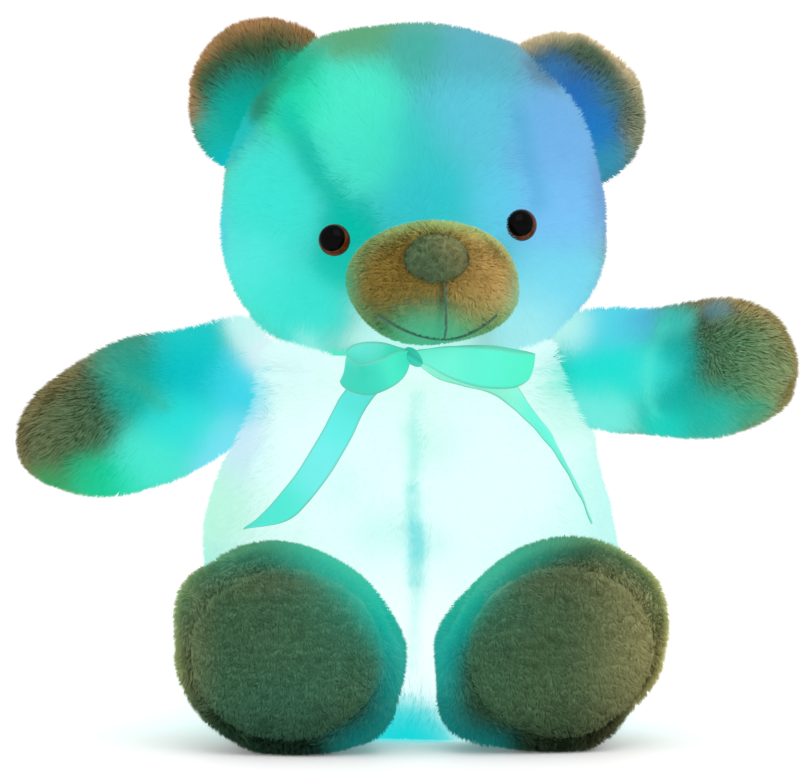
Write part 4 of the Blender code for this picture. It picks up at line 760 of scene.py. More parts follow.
def belly_seam_shade(places, width, tone, strength):
    """One run of painted shade along the belly seam, as a darker tone of the glow. It cuts no groove, so its depth
    is nought.
    """
    return (front_line(body_plain, places, count=60), width, 0.0, tone, strength)


# Painted shade along the belly seam, deepest at its pinch and its dimple.
belly_seam_shades = [
    belly_seam_shade(((2, 166), (1, 152), (2, 142), (1, 130), (-1, 116), (0, 104), (2, 88), (1, 70), (-1, 38)),
               0.0026, linear(168, 244, 234), 0.55),
    belly_seam_shade(((0, 150), (2, 143), (1, 133)), 0.0036, linear(150, 242, 232), 0.35),
    belly_seam_shade(((0, 121), (0, 106), (2, 92), (2, 78)), 0.0028, linear(104, 226, 228), 0.62),
    belly_seam_shade(((1, 103), (2, 98), (2, 91)), 0.0036, linear(60, 216, 222), 0.55),
]
limb_ends = [(arm, -0.12) for arm in arms.values()] + [(leg, 0.30) for leg in legs.values()]
body_coat = coat("body_plush", body, body_glows, downward(0.25), seams=belly_seam_shades, longer=shoulder_pile,
                 hidden_by=[(head_plain, 0.12), *limb_ends],
                 shown=lambda points: ~behind(points, FLAP_HALF, FLAP_LOW, FLAP_HIGH),
                 skin_shown=lambda points: ~behind(points, 0.031, 0.030, 0.131), around=128, along=96)
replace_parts(body_coat, "body")
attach(body_coat, "torso")

# %% [markdown]
# ## Pocket and flap
# At the back a pocket holds the batteries. Its mouth has a facing of thin lining cloth, which turns in to meet the
# pocket, and a flap of the body's own plush closes it, hinged on its top seam and held down by hook and loop tape.
# The flap's pile lies flat, so its edge shows in the taller pile around it, as on the real toy.


# %% Pocket and flap
WAVE_PERIOD = 0.31


def weave(material, size, depth):
    """Adds a fine bump to a cloth: two crossed waves of threads in the object's own coordinates."""
    tree = material.node_tree
    place, bump, cross = (tree.nodes.new(kind) for kind in
                          ("ShaderNodeTexCoord", "ShaderNodeBump", "ShaderNodeMath"))
    cross.operation = "MAXIMUM"
    for k, way in enumerate(("X", "Z")):
        wave = tree.nodes.new("ShaderNodeTexWave")
        wave.bands_direction = way
        wave.inputs["Scale"].default_value = WAVE_PERIOD / size
        tree.links.new(place.outputs["Object"], wave.inputs["Vector"])
        tree.links.new(wave.outputs["Fac"], cross.inputs[k])
    bump.inputs["Strength"].default_value = 0.5
    bump.inputs["Distance"].default_value = depth
    tree.links.new(cross.outputs["Value"], bump.inputs["Height"])
    tree.links.new(bump.outputs["Normal"], tree.nodes["Principled BSDF"].inputs["Normal"])


LINING = finish("lining_cloth", linear(226, 236, 232), 0.8, size=0.02, vary=0.05, Sheen_Weight=0.1)
weave(LINING, 0.0005, 0.0001)


def back_at(x, z, depth=0.0):
    """Points a depth under the back's surface at places seen from behind, and the way out, across its slopes."""
    step = 0.0005
    y = front_y(body_plain, x, z, 1.0)
    slope_x = (front_y(body_plain, x + step, z, 1.0) - front_y(body_plain, x - step, z, 1.0)) / (2 * step)
    slope_z = (front_y(body_plain, x, z + step, 1.0) - front_y(body_plain, x, z - step, 1.0)) / (2 * step)
    out = unit(np.stack([-slope_x, np.ones_like(y), -slope_z], -1))
    return np.stack([x, y, z], -1) - out * np.broadcast_to(depth, np.shape(y))[..., None], out


def cloth(name, points, faces, thickness, body):
    """A thin sheet of lining, given its thickness and hung from a body. Its flat size is that of a rectangle of its
    own area, as wide as it is.
    """
    obj = new_mesh(name, points, faces)
    obj.data.materials.append(LINING)
    layer = obj.modifiers.new("thickness", "SOLIDIFY")
    layer.thickness, layer.offset = thickness, 0.0
    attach(obj, body)
    return obj


TAPE_HALF, TAPE_LOW, TAPE_TOP = 0.0255, 0.0260, 0.0410
TAPE_SEAT, TAPE_ROOF = 0.0659, 0.0690
FACING_HALF, FACING_LOW, FACING_HIGH = 0.0385, 0.0195, 0.1395
FACING_DEPTH, FACING_END_Y = 0.0036, 0.0629
ACROSS, UPWARD, BORDER = 29, 41, 9
LOW_BORDER = 13
lines_x = np.concatenate([np.linspace(-FACING_HALF, -MOUTH_HALF, BORDER)[:-1],
                          np.linspace(-MOUTH_HALF, MOUTH_HALF, ACROSS),
                          np.linspace(MOUTH_HALF, FACING_HALF, BORDER)[1:]])
lines_z = np.concatenate([np.linspace(FACING_LOW, MOUTH_LOW, LOW_BORDER)[:-1],
                          np.linspace(MOUTH_LOW, MOUTH_HIGH, UPWARD),
                          np.linspace(MOUTH_HIGH, FACING_HIGH, BORDER)[1:]])
x, z = np.meshgrid(lines_x, lines_z)
past = np.maximum(np.abs(x) - FLAP_HALF, np.maximum(FLAP_LOW - z, z - FLAP_HIGH))
facing, _ = back_at(x, z, FACING_DEPTH + 0.0040 * ramp(past, -0.0005, 0.0035))
over_tape = (np.abs(x) < TAPE_HALF) & (z < TAPE_TOP) & (z > TAPE_LOW)
facing[..., 1] = np.where(over_tape, np.minimum(facing[..., 1], TAPE_SEAT), facing[..., 1])
faces = quads(x.shape)
points = facing.reshape(-1, 3)
faces = faces[~behind(points[faces].mean(1), MOUTH_HALF, MOUTH_LOW, MOUTH_HIGH)]
wide = lines_x[BORDER - 1 : BORDER - 1 + ACROSS]
tall = lines_z[LOW_BORDER - 1 : LOW_BORDER - 1 + UPWARD]
loop_x = np.concatenate([wide, np.full(UPWARD - 1, wide[-1]), wide[-2::-1], np.full(UPWARD - 1, wide[0])])
loop_z = np.concatenate([np.full(ACROSS, tall[0]), tall[1:], np.full(ACROSS - 1, tall[-1]), tall[-2::-1]])
rim, _ = back_at(loop_x, loop_z, FACING_DEPTH)
by_tape = (loop_z < TAPE_TOP) & (np.abs(loop_x) < TAPE_HALF)
rim[:, 1] = np.where(by_tape, np.minimum(rim[:, 1], TAPE_SEAT), rim[:, 1])
inside = rim * (1, 0, 1) + np.array((0.0, FACING_END_Y, 0.0))
throat = rim[None] + (inside - rim)[None] * np.linspace(0, 1, 5)[:, None, None]
throat_faces = quads(throat.shape[:2]) + len(points)
LINING_THICKNESS = 0.0004
cloth("pocket_facing", np.vstack([points, throat.reshape(-1, 3)]), np.vstack([faces, throat_faces]),
      LINING_THICKNESS, "torso")

x, z = np.meshgrid(np.linspace(-FLAP_HALF + 0.0004, FLAP_HALF - 0.0004, 41),
                   np.linspace(FLAP_LOW + 0.0004, FLAP_HIGH - 0.0003, 61))
under, _ = back_at(x, z, 0.0028)
over_tape = (np.abs(x) < TAPE_HALF) & (z < TAPE_TOP) & (z > TAPE_LOW)
under[..., 1] = np.where(over_tape, np.maximum(under[..., 1], TAPE_ROOF), under[..., 1])
cloth("back_flap_lining", under.reshape(-1, 3), quads(x.shape), LINING_THICKNESS, "flap")
FLAP_LEAN, FLAP_LENGTH = 1.12, 0.0065
flap_stand = standing(FLAP_LENGTH, FLAP_LEAN)
skin, skin_out = back_at(x, z, flap_stand)
edge = np.minimum(FLAP_HALF - np.abs(x), np.minimum(z - FLAP_LOW, FLAP_HIGH - z))
skin[..., 1] = np.maximum(skin[..., 1] - 0.0008 * (1 - ramp(edge, 0, 0.003)), under[..., 1] + 0.0003)


def flap_chart(x, z):
    """Places seen from behind, as shares of the flap's width and height."""
    return np.stack([(x + FLAP_HALF) / (2 * FLAP_HALF), (z - FLAP_LOW) / (FLAP_HIGH - FLAP_LOW)], -1)


FLAP_TUFTS = 2.6e6
rng = np.random.default_rng(61)
count = int(4 * FLAP_HALF * (FLAP_HIGH - FLAP_LOW) / 2 * FLAP_TUFTS * (1.0))
root_x = rng.uniform(-FLAP_HALF + 0.0006, FLAP_HALF - 0.0006, count)
root_z = rng.uniform(FLAP_LOW + 0.001, FLAP_HIGH - 0.0006, count)
roots, root_out = back_at(root_x, root_z, flap_stand)
flap_skin = (skin.reshape(-1, 3), skin_out.reshape(-1, 3), quads(x.shape), flap_chart(x, z).reshape(-1, 2))
flap_coat = dress("back_flap_plush", flap_skin, (roots, root_out, flap_chart(root_x, root_z)), body_glows,
                  downward(0.1), FLAP_LENGTH, FLAP_LEAN)
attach(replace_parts(flap_coat, "back_flap"), "flap")

# %% [markdown]
# ## Head
# The head is sewn from panels, and darts at the brows give it its cheeks. Green lamps sit at one brow and blue ones
# at the other, and the light of the body comes up through the jaw. Along the darts at the brows the glow is painted
# darker, as shade in their grooves, and dark pools at the ears' bases are painted shade where the ears hide the
# head.

# %% Head
head_glows = [
    ((-59, -30, 318), 11, 2.0, linear(10, 172, 134)),
    ((-54, -40, 303), 13, 2.0, GREEN),
    ((-30, -50, 299), 17, 2.5, linear(76, 238, 206)),
    ((-20, -60, 278), 15, 2.0, linear(70, 230, 204)),
    ((-25, -20, 334), 12, 2.4, linear(92, 168, 124)),
    ((3, -30, 325), 12, 1.6, linear(72, 178, 166)),
    ((27, -30, 324), 13, 1.8, linear(90, 180, 200)),
    ((27, -50, 290), 17, 2.0, linear(94, 200, 224)),
    ((3, -60, 279), 13, 1.6, linear(54, 200, 198)),
    ((8, -66, 256), 15, 2.0, linear(46, 200, 208)),
    ((38, -66, 256), 13, 1.6, linear(96, 206, 238)),
    ((66, -40, 282), 19, 2.6, linear(114, 180, 236)),
    ((68, -50, 254), 17, 2.4, linear(122, 196, 250)),
    ((91, 0, 262), 12, 2.6, linear(112, 162, 214)),
    ((70, -50, 214), 17, 2.4, linear(120, 220, 244)),
    ((60, -50, 196), 14, 2.4, linear(164, 238, 242)),
    ((-68, -50, 256), 18, 2.5, linear(60, 230, 216)),
    ((-77, -40, 226), 14, 2.2, linear(86, 234, 226)),
    ((-92, 0, 244), 9, 2.2, linear(78, 214, 222)),
    ((-54, -60, 205), 15, 2.2, linear(58, 228, 214)),
    ((-71, -40, 213), 13, 2.0, linear(64, 232, 214)),
    ((-50, -40, 188), 7, 1.6, linear(160, 242, 234)),
    ((0, -50, 186), 18, 2.6, linear(190, 250, 244)),
    # Painted shade: the next two dark pools, at the right ear's base, and the one at (66, -30, 320), at the left
    # ear's, stand for the shade that the ears cast on the head.
    ((-77, -30, 307), 8, 5.0, linear(24, 126, 100)),
    ((-68, -30, 316), 7, 4.0, linear(20, 140, 108)),
    ((-86, -10, 292), 9, 3.0, linear(6, 192, 190)),
    ((66, -30, 320), 7, 2.5, linear(92, 132, 158)),
    ((-28, -70, 243), 9, 3.6, linear(2, 186, 171)),
    ((-36, -70, 226), 8, 1.6, linear(10, 196, 176)),
    ((0, 72, 262), 44, 2.0, linear(70, 208, 212)),
    ((-48, 66, 300), 24, 2.2, linear(46, 224, 190)),
    ((50, 66, 296), 26, 2.2, linear(104, 184, 236)),
    ((56, 66, 226), 24, 2.0, linear(124, 204, 248)),
    ((-50, 66, 220), 24, 2.0, linear(66, 230, 218)),
    ((0, 60, 194), 26, 2.4, linear(176, 246, 240)),
]
# Painted shade along the dart and brow seams: darker tones of the glow.
head_seam_shades = [(*dart_seam, linear(0, 192, 172), 0.95), (*brow_seam, linear(84, 176, 220), 0.6)]


def jaw_pile(points):
    """Up to 8 mm more below the jaw, where the pile hides the neck. It stays short over the bow."""
    low = 1 - ramp(points[:, 2], 0.194, 0.208)
    return 0.008 * low * ramp(np.hypot(points[:, 0], np.maximum(points[:, 1] + 0.05, 0)), 0.018, 0.034)


def head_comb(points, out):
    """Away from the muzzle, and at the jaw straight down."""
    low = 1 - ramp(points[:, 2], 0.190, 0.215)[:, None]
    return away_from((4, -60, 240), 0.35)(points, out) - low * np.array((0.0, 0.0, 1.6))


head_coat = coat("head_plush", head, head_glows, head_comb, longer=jaw_pile, seams=head_seam_shades,
                 hidden_by=[(body_plain, 0.12), (muzzle, 0.10)])
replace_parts(head_coat, "head")
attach(head_coat, "head_group")

# %% [markdown]
# ## Ears
# Each ear is two round panels of pile sewn together and stuffed thinly. Only the side next to the head is lit.

# %% Ears
ear_glows = {
    "right": [((-82, -9, 306), 11, 0.16, linear(0, 134, 118)), ((-82, -9, 296), 11, 0.9, linear(0, 180, 166)),
              ((-92, -9, 285), 10, 0.6, linear(8, 182, 168)), ((-88, -6, 275), 9, 0.8, linear(0, 198, 208)),
              ((-64, -6, 300), 12, 0.5, linear(8, 158, 134)), ((-58, 0, 318), 7, 0.4, linear(10, 172, 134))],
    "left": [((66, -6, 315), 8, 0.35, linear(50, 120, 184)), ((77, -9, 303), 9, 0.7, linear(34, 110, 190)),
             ((84, -9, 290), 9, 0.9, linear(28, 122, 200)), ((91, -9, 276), 9, 0.5, linear(50, 150, 186)),
             ((90, -9, 304), 9, 0.07, linear(60, 130, 160))],
}
EAR_TONES = {"right": (linear(88, 120, 82), linear(186, 146, 98), 1.0),
             "left": (linear(108, 134, 106), linear(224, 206, 166), 0.45)}


def ear_pile(side):
    """The middle's tone, and near the outline the rim's, more so above than below."""
    def pile(points, out):
        centre = ears[side]["place"][0]
        away = np.hypot(points[:, 0] - centre[0], points[:, 2] - centre[2]) / EAR_RADIUS
        away = away + 0.10 * waves(points, 0.03, 51)
        rim = (ramp(away, 0.62, 0.98) * ramp(points[:, 2] - centre[2], -0.034, -0.004))[:, None]
        middle, edge, low_share = EAR_TONES[side]
        high = ramp(points[:, 2] - centre[2], -0.004, 0.032)[:, None]
        return middle + (edge - middle) * rim * (low_share + (1 - low_share) * high)

    return pile


for side, ear in ears.items():
    ear_coat = coat(f"ear_{side}_plush", ear, ear_glows[side], away_from((SIDES[side] * 66, 0, 290), 0.0),
                    length=0.007, pile=ear_pile(side), relief=0.6,
                    hidden_by=[(head_plain, 0.14)], around=72, along=40)
    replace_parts(ear_coat, f"ear_{side}")
    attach(ear_coat, "head_group")

# %% [markdown]
# ## Muzzle and nose
# The muzzle is a dome of shorter tan pile, sewn to the face. The nose is a pad of velvet with a very short nap.

# %% Muzzle and nose
def muzzle_pile(points, out):
    """Tan above, greener below and at the edges, lighter to the bear's left, with painted shade darker in the
    crease by the mouth stitch and painted light brighter along the top.
    """
    low = 1 - ramp(points[:, 2], 0.184, 0.216)[:, None]
    left = ramp(points[:, 0], 0.004, 0.046)[:, None]
    tone = linear(158, 134, 64) * (1 - left) + linear(216, 184, 114) * left
    edge = 1 - ramp(out @ np.array(face_way()), 0.12, 0.75)[:, None]
    tone = tone + (linear(112, 176, 120) * (0.75 + 0.4 * left) - tone) * low * 0.85
    tone = tone + (linear(122, 190, 136) - tone) * edge * 0.52
    across = points @ np.array((math.cos(FACE_YAW), math.sin(FACE_YAW), 0.0))
    # Painted shade: darker in the crease below the nose, along the mouth stitch.
    crease = (np.exp(-(((across - 0.0024) / 0.0019) ** 2)) * (1 - ramp(points[:, 2], 0.2200, 0.2250)))[:, None]
    # Painted light: brighter along the top of the muzzle.
    high = ramp(points[:, 2], 0.232, 0.243)[:, None]
    return tone * (1 - 0.50 * crease) * (1 + 0.45 * high)


def nose_pile(points, out):
    """Olive, with a painted highlight that makes it lighter above and to the bear's left."""
    left = ramp(points[:, 0] + 0.6 * (points[:, 2] - 0.2275), 0.006, 0.024)[:, None]
    high = ramp(points[:, 2], 0.226, 0.242)[:, None]
    return (linear(94, 116, 82) * (1 - left) + linear(130, 132, 90) * left) * (1 + 0.35 * high)


muzzle_glows = [((8, -100, 184), 13, 0.34, linear(70, 188, 146)),
                ((-38, -70, 216), 10, 0.08, linear(50, 180, 140)),
                ((52, -70, 210), 10, 0.04, linear(110, 190, 170))]
muzzle_coat = coat("muzzle_plush", muzzle, muzzle_glows, away_from((12, -80, 222), 0.1),
                   length=0.0036, dense=3.6, width=0.0004, pile=muzzle_pile, relief=0.40,
                   hidden_by=[(head_plain, 0.16)], around=64, along=48)
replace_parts(muzzle_coat, "muzzle")
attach(muzzle_coat, "head_group")
nose_coat = coat("nose_velvet", nose, [], away_from((12, -90, 236), 0.4),
                 length=0.0012, dense=9.0, width=0.0002, pile=nose_pile, relief=0.3,
                 hidden_by=[(muzzle, 0.2)], around=48, along=32)
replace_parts(nose_coat, "nose")
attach(nose_coat, "head_group")

# %% [markdown]
# ## Eyes
# A safety eye is one amber dome with a black disc behind its middle, so the amber shows as a ring. The black sits a
# little up and to the bear's right of the middle, because both eyes look slightly aside.


# %% Eyes
def turned(name, outline, place, material, around=64):
    """A surface of revolution: radii and levels of an outline in metres, about the place's own Z."""
    radius, level = np.array(outline, float).T[:, :, None]
    turn = np.linspace(0, 2 * np.pi, around, endpoint=False)[None]
    grid = np.stack([radius * np.cos(turn), radius * np.sin(turn), level + 0 * turn], -1)
    origin, ways = place
    index = np.arange(len(outline) * around).reshape(-1, around)
    after = np.roll(index, -1, 1)
    faces = np.stack([index[:-1], after[:-1], after[1:], index[1:]], -1).reshape(-1, 4)
    obj = new_mesh(name, origin + grid.reshape(-1, 3) @ ways, faces)
    obj.data.materials.append(material)
    return obj


def dome(radius, height, low, steps=14):
    """An outline from the rim up to the top: r cos t and h sin t."""
    t = np.linspace(0, np.pi / 2 * 0.995, steps)
    arch = zip(radius * np.cos(t), low + height * np.sin(t))
    return [(radius * 0.97, low - 0.0015), (radius, low - 0.0004), *arch]


AMBER = finish("amber_glass", linear(84, 38, 11), 0.14, size=0.003, vary=0.45, Specular_IOR_Level=0.15)
BLACK = finish("black_glass", linear(5, 4, 5), 0.12, size=0.003, vary=0.2, Specular_IOR_Level=0.04)
EYE_SPREAD, EYE_LEVEL, EYE_TILT = 0.0445, 0.2400, 0.0036
EYE_TURN = math.radians(13.0)
EYE_RADIUS, PUPIL_RADIUS = 0.0076, 0.0065
for side, sign in SIDES.items():
    across, height = sign * EYE_SPREAD, EYE_LEVEL + sign * EYE_TILT
    x = face_place(across, 0.0, height)[0]
    skin_y = -front_y(head_plain, np.array([x]), np.array([height]))[0]
    eye_place = axes(face_place(across, skin_y, height), face_way(sign * EYE_TURN), UP)
    eye = turned(f"eye_{side}_dome", dome(EYE_RADIUS, 0.0044, 0.0002), eye_place, AMBER)
    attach(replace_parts(eye, f"eye_{side}"), "head_group")
    origin, ways = eye_place
    black_place = (origin + ways.T @ np.array((0.0007 + sign * 0.0002, -0.0006, 0.0)), ways)
    pupil = turned(f"pupil_{side}_disc", dome(PUPIL_RADIUS, 0.0037, 0.0018), black_place, BLACK)
    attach(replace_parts(pupil, f"pupil_{side}"), "head_group")
print("eyes", round(2000 * EYE_RADIUS, 1), "mm wide, and", round(2000 * EYE_SPREAD), "mm apart")

# %% [markdown]
# ## Ribbon
# The ribbon is satin, 15.5 mm wide, lit through by the body. A strip of cloth is ruled: straight across between its
# two edges. So each length of it is made from two curves, its upper and its lower edge, with a slight cup between.


# %% Ribbon
def curve(places, steps=12):
    """A smooth run through places in millimetres. It goes on straight past both ends."""
    p = np.array(places, float) * MM
    return np.vstack([smooth_run(np.vstack([2 * p[0] - p[1], p, 2 * p[-1] - p[-2]]), steps), p[-1]])


def satin_finish():
    """Fine ribs across the ribbon, read from its own chart."""
    material = pile_finish("satin", 0.45, 0.1, 0.3)
    tree = material.node_tree
    shader = tree.nodes["Principled BSDF"]
    chart, ribs, bump = (tree.nodes.new(kind) for kind in
                         ("ShaderNodeUVMap", "ShaderNodeTexWave", "ShaderNodeBump"))
    chart.uv_map = "OFBake"
    ribs.bands_direction = "Y"
    ribs.inputs["Scale"].default_value = 60.0
    ribs.inputs["Distortion"].default_value = 0.6
    bump.inputs["Strength"].default_value = 0.08
    bump.inputs["Distance"].default_value = 0.0002
    tree.links.new(chart.outputs["UV"], ribs.inputs["Vector"])
    tree.links.new(ribs.outputs["Fac"], bump.inputs["Height"])
    tree.links.new(bump.outputs["Normal"], shader.inputs["Normal"])
    return material


SATIN = satin_finish()
RIBBON_WIDTH, RIBBON_THICKNESS = 0.0155, 0.0004
SATIN_BASE = 0.42
SELVEDGE = linear(120, 190, 165)


def ribbon_strip(name, upper, lower, glows, cup=0.0006, columns=13):
    """The ruled strip between two edges, cupped by cup (1 - s s), with its tones, its greyer woven edges and
    its flat size."""
    s = np.linspace(-1, 1, columns)[None, :, None]
    middle, half = (upper + lower)[:, None] / 2, (upper - lower)[:, None] / 2
    along = np.gradient((upper + lower) / 2, axis=0)[:, None]
    normal = unit(np.cross(along, half))
    ripple = 0.00025 * waves((middle + half * s), 0.014, 31)[..., None]
    grid = middle + half * s + normal * (cup * (1 - s**2) + ripple)
    faces = quads(grid.shape[:2])
    points = grid.reshape(-1, 3)
    obj = new_mesh(name, points, faces)
    tone, _ = glow_at(points, glows)
    edge = (ramp(np.abs(np.broadcast_to(s[..., 0], grid.shape[:2])), 0.90, 0.97) * 0.65).reshape(-1, 1)
    tone = tone + (SELVEDGE - tone) * edge
    write_colour(obj.data, "glow", tone * 0.56)
    write_colour(obj.data, "pile", tone * SATIN_BASE)
    length = np.linalg.norm(np.diff((upper + lower) / 2, axis=0), axis=1)
    way = np.concatenate([[0], np.cumsum(length)]) / length.sum()
    chart = np.stack([np.broadcast_to((s[0, :, 0] + 1) / 2, grid.shape[:2]),
                      np.broadcast_to(way[:, None], grid.shape[:2])], -1).reshape(-1, 2)
    write_chart(obj.data, faces, chart)
    obj.data.materials.append(SATIN)
    thick = obj.modifiers.new("thickness", "SOLIDIFY")
    thick.thickness, thick.offset = RIBBON_THICKNESS, 0.0
    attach(obj, "torso")
    mean_width = float(np.linalg.norm(upper - lower, axis=1).mean())
    print(name, "is", round(float(length.sum()) * 1000), "mm long,", round(mean_width * 1000, 1), "mm wide")
    return obj


SATIN_MINT = linear(82, 238, 206)
SATIN_DEEP = linear(44, 210, 184)
SATIN_PALE = linear(112, 240, 226)
# In the right loop's glows, the SATIN_DEEP pools are painted shade where the satin folds and turns under.
loop_right = ribbon_strip(
    "bow_loop_right_satin",
    curve([(-1, -71, 184), (-7, -80, 184.5), (-15, -88, 181), (-24, -90, 178.2), (-30.7, -85, 181.8),
           (-29.8, -79, 186), (-22, -75, 188.5), (-14, -73, 188), (-7, -71, 186), (-2, -69.5, 184.5)]),
    curve([(-1, -70, 180), (-4, -78, 172.5), (-11, -84, 167), (-21, -85, 163.6), (-31, -80, 165.8),
           (-34.5, -74, 170.5), (-26, -69.5, 172), (-16, -68, 174), (-7, -68, 177), (-2, -68.5, 180)]),
    [((-24, -88, 171), 9, 3.0, SATIN_DEEP), ((-8, -82, 178), 8, 2.0, linear(66, 232, 200)),
     ((-23, -74, 186), 6, 6.0, SATIN_PALE), ((-26, -70, 176), 8, 0.4, SATIN_DEEP)])
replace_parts(loop_right, "bow_loop_right")
loop_left = ribbon_strip(
    "bow_loop_left_satin",
    curve([(1, -71, 184), (8, -75, 185.4), (18, -80, 186.6), (33, -84, 186.1), (49, -83, 183.8),
           (57.4, -79.5, 182.8), (50.3, -75, 184.6), (35, -72, 186.8), (18, -70.5, 186.2), (2, -69.5, 184.5)]),
    curve([(1, -70, 180), (7, -74, 177.2), (16.5, -78, 171.8), (31, -81.5, 167.2), (47, -80.5, 166.8),
           (54.5, -77, 171.5), (46, -72, 169.5), (31, -69, 170), (16, -67.5, 174.5), (2, -68.5, 180)]),
    [((14, -78, 180), 14, 1.5, linear(112, 245, 218)), ((34, -84, 176), 14, 2.0, SATIN_MINT),
     ((54, -80, 176), 9, 2.2, linear(72, 236, 196))])
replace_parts(loop_left, "bow_loop_left")


def on_belly(places, lift):
    """Places (x, z) in millimetres on the belly, each lifted off it by its own number of millimetres."""
    x, z = np.array(places, float).T
    y = front_y(body_plain, x * MM, z * MM) / MM - np.array(lift)
    return np.stack([x, y, z], 1)


def tail_edge(root, places, lift):
    """One edge of a tail: from its root under the knot over the belly."""
    return curve(np.vstack([[root], on_belly(places, lift)]))


tail_right = ribbon_strip(
    "bow_tail_right_satin",
    tail_edge((-2, -69, 181), [(-14, 177), (-25, 173), (-33.5, 164), (-38.5, 155), (-43.5, 145.5), (-53.5, 129.3),
                               (-64, 115), (-74, 104.5), (-81.5, 98.8)],
              (4.5, 4, 3.4, 3, 2.6, 2.4, 2.2, 2.2, 2.0)),
    tail_edge((-2, -68.5, 178), [(-11, 170), (-16, 165), (-19.5, 161), (-23.7, 154.5), (-29.5, 142.5),
                                 (-39, 126.5), (-50, 112), (-61, 103), (-81.4, 98.6)],
              (4.0, 3.6, 3, 2.6, 2.2, 2.0, 2.0, 2.0, 2.0)),
    [((-30, -70, 155), 16, 1.5, linear(88, 232, 224)), ((-45, -70, 128), 14, 1.5, linear(112, 234, 232)),
     ((-66, -66, 106), 18, 1.5, linear(72, 232, 212))])
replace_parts(tail_right, "bow_tail_right")
tail_left = ribbon_strip(
    "bow_tail_left_satin",
    tail_edge((2, -68.5, 180), [(16, 176.5), (33, 174), (47.5, 168.5), (56.6, 156.3), (65.6, 144.6), (72, 132),
                                (77.4, 121.5), (81.9, 111.2), (85.3, 101)],
              (5, 4.6, 3.6, 3, 2.6, 2.4, 2.4, 2.4, 2.4)),
    tail_edge((2, -68, 177.5), [(12, 170.5), (24, 167), (36.5, 164), (47, 157), (58, 146.5), (67, 135.6),
                                (74, 124.5), (80.2, 112.6), (85.2, 100.8)],
              (4.0, 4.0, 6, 9.5, 12.5, 14.5, 15, 13, 5.0)),
    [((40, -70, 164), 14, 1.5, linear(150, 250, 222)), ((58, -60, 148), 14, 1.5, linear(96, 240, 214)),
     ((76, -56, 122), 16, 1.5, linear(84, 226, 204))])
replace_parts(tail_left, "bow_tail_left")

# %% [markdown]
# The band round the neck is the same ribbon, folded in three along its length, so that it fits under the jaw. The
# knot is a short wrap of it, drawn tight, with creases that run over its front.

# %% Band and knot
BAND_RADIUS, BAND_LEVEL, BAND_HALF = 0.0473, 0.1834, 0.0022
BAND_LEAVE = math.radians(38.0)
ring = np.linspace(BAND_LEAVE, 2 * np.pi - BAND_LEAVE, 140)
line = np.stack([BAND_RADIUS * np.sin(ring), -BAND_RADIUS * np.cos(ring), np.full(len(ring), BAND_LEVEL)], 1)
ends = [np.linspace(line[k], (x, -0.0645, 0.1805), 14) for k, x in ((0, 0.0028), (-1, -0.0028))]
line = np.vstack([ends[0][:0:-1], line, ends[1][1:]])
fold = np.linspace(0, 3, 25)[None]
rise = BAND_HALF * (1 - 2 * np.abs((fold + 1) % 2 - 1))
outward = unit(line * (1, 1, 0))[:, None]
grid = line[:, None] + outward * (0.00042 * (fold - 1.5))[..., None] + rise[..., None] * np.array(UP)
grid = grid + outward * 0.00015 * waves(grid, 0.02, 41)[..., None]
faces = quads(grid.shape[:2])
band = new_mesh("neck_band_satin", grid.reshape(-1, 3), faces)
band_tone = np.broadcast_to(SATIN_MINT, (grid[..., 0].size, 3))
write_colour(band.data, "glow", band_tone * 0.55)
write_colour(band.data, "pile", band_tone * SATIN_BASE)
band_across = np.broadcast_to(fold / 3, grid.shape[:2])
band_way = np.broadcast_to(np.linspace(0, 1, len(line))[:, None], grid.shape[:2])
write_chart(band.data, faces, np.stack([band_across, band_way], -1).reshape(-1, 2))
band.data.materials.append(SATIN)
fold_thick = band.modifiers.new("thickness", "SOLIDIFY")
fold_thick.thickness, fold_thick.offset = 0.0002, 0.0
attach(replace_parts(band, "neck_ribbon"), "torso")

KNOT_CENTRE = (0.0, -0.0700, 0.1812)
KNOT_HALF, KNOT_DEEP, KNOT_HIGH = 0.0056, 0.0040, 0.0036
KNOT_TILT = math.radians(-32.0)
turn, way = np.meshgrid(np.linspace(0, 2 * np.pi, 65), np.linspace(0, np.pi, 41))
folds = np.cos(5 * turn + 0.6)
crease = 1 + 0.05 * folds * np.sin(way) ** 2
side_way = np.sign(np.cos(way)) * np.abs(np.cos(way)) ** 0.8 * KNOT_HALF
rise = KNOT_HIGH * crease * np.sin(way) ** 0.6 * np.sin(turn)
knot_grid = np.stack([side_way * math.cos(KNOT_TILT) - rise * math.sin(KNOT_TILT),
                      KNOT_DEEP * crease * np.sin(way) ** 0.6 * np.cos(turn),
                      side_way * math.sin(KNOT_TILT) + rise * math.cos(KNOT_TILT)], -1)
knot_grid = knot_grid + np.array(KNOT_CENTRE)
faces = quads(turn.shape)
knot = new_mesh("bow_knot_satin", knot_grid.reshape(-1, 3), faces)
# Painted light and shade: the knot's tone is lighter on its creases' ridges and darker in their folds.
knot_fold_shaded_tone = SATIN_DEEP * (0.86 + 0.14 * folds.reshape(-1, 1))
write_colour(knot.data, "glow", knot_fold_shaded_tone * 0.6)
write_colour(knot.data, "pile", knot_fold_shaded_tone * SATIN_BASE)
write_chart(knot.data, faces, np.stack([turn / (2 * np.pi), way / np.pi], -1).reshape(-1, 2))
knot.data.materials.append(SATIN)
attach(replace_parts(knot, "bow_knot"), "torso")
